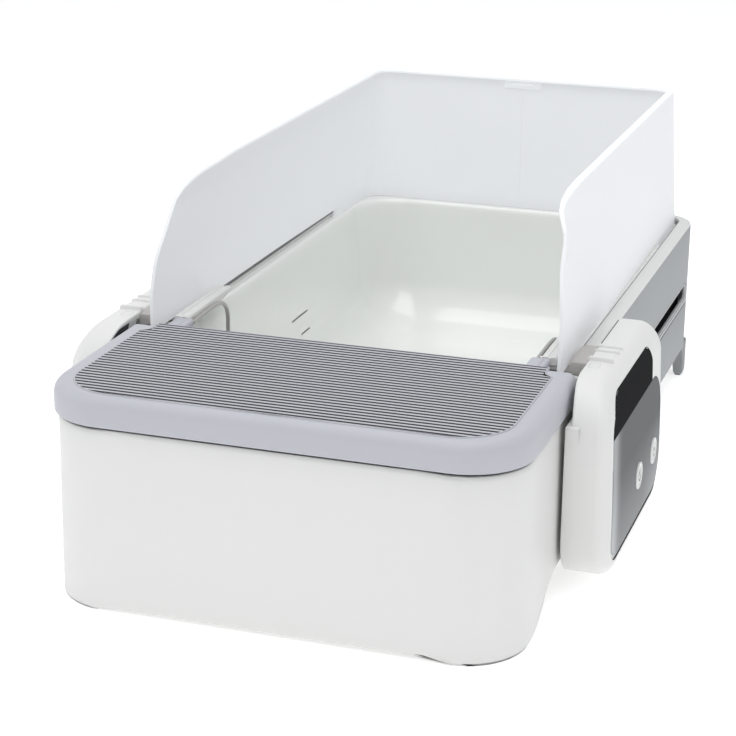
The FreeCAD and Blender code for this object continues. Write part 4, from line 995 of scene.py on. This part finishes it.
def carrier(side):
    """White bar inside the guard, with a groove along its top and a dark strip under it that paints the
    shadow beneath the bar.
    """
    name = side_name(side)
    rings = []
    # depth, underside, how far its end is rounded
    for depth, low, drop in ((226, 177.2, 0.6), (227, 177.1, 0), (300, 177.1, 0), (318, 179.4, 0),
                             (329, 181.6, 0), (330, 182.0, 0.6)):
        spots = [(173, low), (173, 183.3), (172.3, 184.2), (171.4, 184.4), (168.4, 184.4), (168.0, 183.7),
                 (166.0, 183.7), (165.6, 184.4), (162.0, 184.4), (160.7, 183.9), (160, 182.6), (160, low)]
        rings.append([(side * x, y_of(depth), max(low, z - drop)) for x, z in spots])
    mesh_object(f"carrier_skin_{name}", loft(rings), white, 40, "carriage", [f"rake_carrier_{name}"])
    # A black strip painted where the shadow falls between the bar and the tray's rim
    shadow_strip = slab(side, (160.8, 172.4), (227, 303), (175.2, 177.3), 0.4)
    mesh_object(f"carrier_painted_shadow_{name}", shadow_strip, black, 40, "carriage")


def rake_arm(side):
    """Bent wire from the carrier over and down to the eye on the rake's shaft."""
    name = side_name(side)
    x, wire, eye_radius = side * 156, 1.9, 4.9
    bends = ((227, 179.2), (240, 180), (256, 180.4), (278, 180.4), (295, 177.8), (305, 171), (308.8, 162),
             (309, 152), (309, 140))
    path = smooth_path([(x, y_of(depth), z) for depth, z in bends], 8)
    root = [(side * u, y_of(235), 179.6) for u in (161, 155.4)]
    eye = [(side * u, y_of(RAKE_DEEP), RAKE_HIGH) for u in (153.6, 154.0, 158.0, 158.4)]
    shape = join(tube(path, wire, 14), tube(root, wire, 12), tube(eye, eye_radius, 24))
    mesh_object(f"arm_skin_{name}", shape, steel, 40, "carriage", [f"rake_arm_{name}"])


def catch(side):
    """Sliding catch: a low plate with a thick bar in front and two thin bars behind."""
    name = side_name(side)
    top = POD[3]
    parts = [slab(side, (202.5, 220.5), (217, 262.6), (top - 3, top + 0.4), 0.3)]
    for depth, high, thick in ((221, top + 3.4, 1.0), (245.5, top + 2, 0.75), (258, top + 2, 0.75)):
        rings = []
        # place along X, and how much lower and thinner the bar is there
        for x, drop, thin in ((201.4, 1.2, 0.6), (202, 0.3, 0.2), (203, 0, 0), (220.6, 0, 0),
                              (221.8, 0.3, 0.2), (222.4, 1.2, 0.6)):
            profile = [(thin - 3 * thick, top), (thin - 2.9 * thick, high - 1.2),
                       (thin / 2 - 2.2 * thick, high), (thick, high), (2.4 * thick - thin, high - 1.2),
                       (3.4 * thick - thin, top)]
            rings.append([(side * x, y_of(depth) + v, max(z - drop, top) if z > top else top - 0.8)
                          for v, z in profile])
        parts.append(loft(rings))
    mesh_object(f"catch_skin_{name}", join(*parts), white, 40, f"catch_{name}", [f"release_catch_{name}"])
    box = (205, 214, y_of(201), y_of(213))
    rings = [flat(rounded_ring(box[0] + inset, box[1] - inset, box[2] + inset, box[3] - inset, [2.5] * 4, 6),
                  top + 0.05, side) for inset in (0.0, 0.4)]
    mesh_object(f"catch_mark_{name}", open_loft(rings), line_grey, 40, "carriage")
    # A dark strip painted along the pod's top inner edge for the shadow of the gap between the pod and the
    # rail
    line = slab(side, (201.4, 202.0), (270, 340), (top - 1, top + 0.08), 0.1)
    mesh_object(f"pod_edge_painted_shadow_{name}", line, icon_grey, 40, "carriage")


def button(node, kind):
    """Round button with a raised ring and a small plain sign."""
    centre_y, centre_z = y_of(BUTTONS[node]), BUTTON_Z
    sign_x, steps = 242.42, 48

    def polar(radius, x, turns):
        return [(x, centre_y + radius * math.cos(a), centre_z + radius * math.sin(a)) for a in turns]

    def on_sign(points):
        return [(sign_x, centre_y + u, centre_z + v) for u, v in points]

    around = [2 * math.pi * i / steps for i in range(steps)]
    # radius, place along X
    levels = ((12.0, 237.0), (12.0, 242.0), (11.7, 242.35), (11.2, 242.5), (9.3, 242.5), (8.9, 242.3),
              (8.7, 241.9), (8.4, 241.8), (8.1, 242.0), (7.8, 242.25), (0.2, 242.35))
    rings = [polar(r, x, around) for r, x in levels]
    mesh_object(f"{node}_skin", loft(rings, False, True), white, 40, node, [node])
    if kind == "ring":
        sweep = [math.radians(a) + math.radians(130) for a in range(-50, 231, 10)]
        arcs = zip(*(polar(r, sign_x, sweep) for r in (3.4, 4.9)))
        sign = sheet([list(pair) for pair in arcs])
        bar = [(-0.65, 1.2), (0.65, 1.2), (0.65, 5.6), (-0.65, 5.6)]
    else:
        arrow = [(-4.2, -0.7), (-3.2, -1.7), (0, 2.1), (3.2, -1.7), (4.2, -0.7), (0, 4.3)]
        sign = (on_sign(arrow), [(0, 1, 2, 5), (2, 3, 4, 5)])
        bar = [(-3.6, -4.6), (3.6, -4.6), (3.6, -3.4), (-3.6, -3.4)]
    mesh_object(f"{node}_sign", join(sign, quad(*on_sign(bar))), icon_grey, 40, node)


def pod_hollow(side):
    """Hollow on the inner side, under the front of the pod's top, with a dark sheet that paints the shade
    inside it, and the catch's guide behind it.
    """
    name = side_name(side)
    outline = [(min(y, y_of(194)), z) for y, z in inset_ring(POD, POD_R, 1.6, 12)]
    # The dark sheet at the back of the hollow is painted shade
    hollow = leaning_fill(side, outline, 205.6, 148, 183.6)
    mesh_object(f"pod_hollow_{name}", hollow, hollow_painted_shade, 40, "carriage")
    x = (202.6, 205.0)
    guide = join(slab(side, x, (211, 213), (174, 184), 0.2), slab(side, x, (211, 221), (174, 176), 0.2),
                 slab(side, x, (215, 218), (178, 181), 0.2))
    mesh_object(f"catch_guide_{name}", guide, mark_grey, 40, "carriage")


for side in (1, -1):
    bridge(side)
    carrier(side)
    rake_arm(side)
    catch(side)
pod_hollow(-1)
button("power_button", "ring")
button("clean_button", "arrow")


# Pieces that keep the shape of their solids

LOOKS = {
    "waste_bin": white_inner, "rack_right": black, "rack_left": black, "dc_socket": black,
    "lid_hinge_pins": steel, "gear_motor_right": motor_grey, "gear_motor_left": motor_grey,
    "guide_shoes_right": black, "guide_shoes_left": black,
    "bridge_plate_right": steel, "bridge_plate_left": steel,
    "rake_shaft": steel, "rake_tines": steel, "circuit_board": board_green,
    "drive_pinion_right": black, "drive_pinion_left": black,
}
for node, material in LOOKS.items():
    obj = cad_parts[node]
    obj.data.materials.clear()
    obj.data.materials.append(material)


# Floor, light and camera

def floor():
    """Pale floor that reaches far beyond the picture."""
    reach = 6
    mesh = bpy.data.meshes.new("floor")
    mesh.from_pydata([(-reach, -reach, 0), (reach, -reach, 0), (reach, reach, 0), (-reach, reach, 0)], [],
                     [(0, 1, 2, 3)])
    obj = bpy.data.objects.new("floor", mesh)
    bpy.context.scene.collection.objects.link(obj)
    pale = Shader("floor_pale", (0.9, 0.9, 0.9), 0.9, Emission_Color=(1, 1, 1, 1), Emission_Strength=0.45)
    mesh.materials.append(pale.material)


def light(name, place, target, size, power):
    """A rectangular lamp that faces its target."""
    lamp = bpy.data.lights.new(name, "AREA")
    lamp.shape = "RECTANGLE"
    lamp.size, lamp.size_y = size
    lamp.energy = power
    obj = bpy.data.objects.new(name, lamp)
    bpy.context.scene.collection.objects.link(obj)
    obj.location = place
    obj.rotation_euler = (Vector(target) - Vector(place)).to_track_quat("-Z", "Y").to_euler()


def backdrop(tree, color, strength):
    """One background of the world."""
    node = tree.nodes.new("ShaderNodeBackground")
    node.inputs[0].default_value = (*color, 1)
    node.inputs[1].default_value = strength
    return node.outputs[0]


def studio():
    """A dim light all round, behind which the camera and clear or shiny things see plain white."""
    world = bpy.data.worlds.new("studio")
    bpy.context.scene.world = world
    world.use_nodes = True
    tree = world.node_tree
    tree.nodes.clear()
    rays = tree.nodes.new("ShaderNodeLightPath").outputs
    seen = Sock(tree, rays["Is Camera Ray"])
    for kind in ("Is Glossy Ray", "Is Transmission Ray"):
        seen = seen.math("MAXIMUM", Sock(tree, rays[kind]))
    choice = tree.nodes.new("ShaderNodeMixShader")
    tree.links.new(seen.socket, choice.inputs[0])
    tree.links.new(backdrop(tree, (0.95, 0.97, 1.0), 0.5), choice.inputs[1])
    tree.links.new(backdrop(tree, (1, 1, 1), 1.0), choice.inputs[2])
    output = tree.nodes.new("ShaderNodeOutputWorld")
    tree.links.new(choice.outputs[0], output.inputs[0])


def camera():
    """The view that was fitted to the photo: its place, and the directions right, down and ahead."""
    data = bpy.data.cameras.new("camera")
    data.lens = 100.89
    data.sensor_width = 36
    obj = bpy.data.objects.new("camera", data)
    bpy.context.scene.collection.objects.link(obj)
    place = Vector((0.5332, -1.7704, 0.7225))
    right = Vector((0.949, 0.315, 0.0109))
    down = Vector((0.1101, -0.2989, -0.9479))
    ahead = Vector((-0.2954, 0.9008, -0.3183))
    rows = [(right[i], -down[i], -ahead[i], place[i]) for i in range(3)]
    obj.matrix_world = Matrix((*rows, (0, 0, 0, 1)))
    bpy.context.scene.camera = obj


floor()
light("key", (0.3, -1.6, 2.2), (0, 0, 0.1), (1.6, 1.2), 12)
light("fill_left", (-2.2, -0.8, 1.2), (0, 0, 0.15), (1.6, 1.6), 8)
light("fill_right", (2.2, -0.4, 1.1), (0, 0, 0.15), (1.2, 1.6), 3)
light("top", (0, -0.1, 2.3), (0, 0.1, 0), (2.0, 2.0), 24)
studio()
camera()
bpy.context.scene.view_settings.view_transform = "Standard"
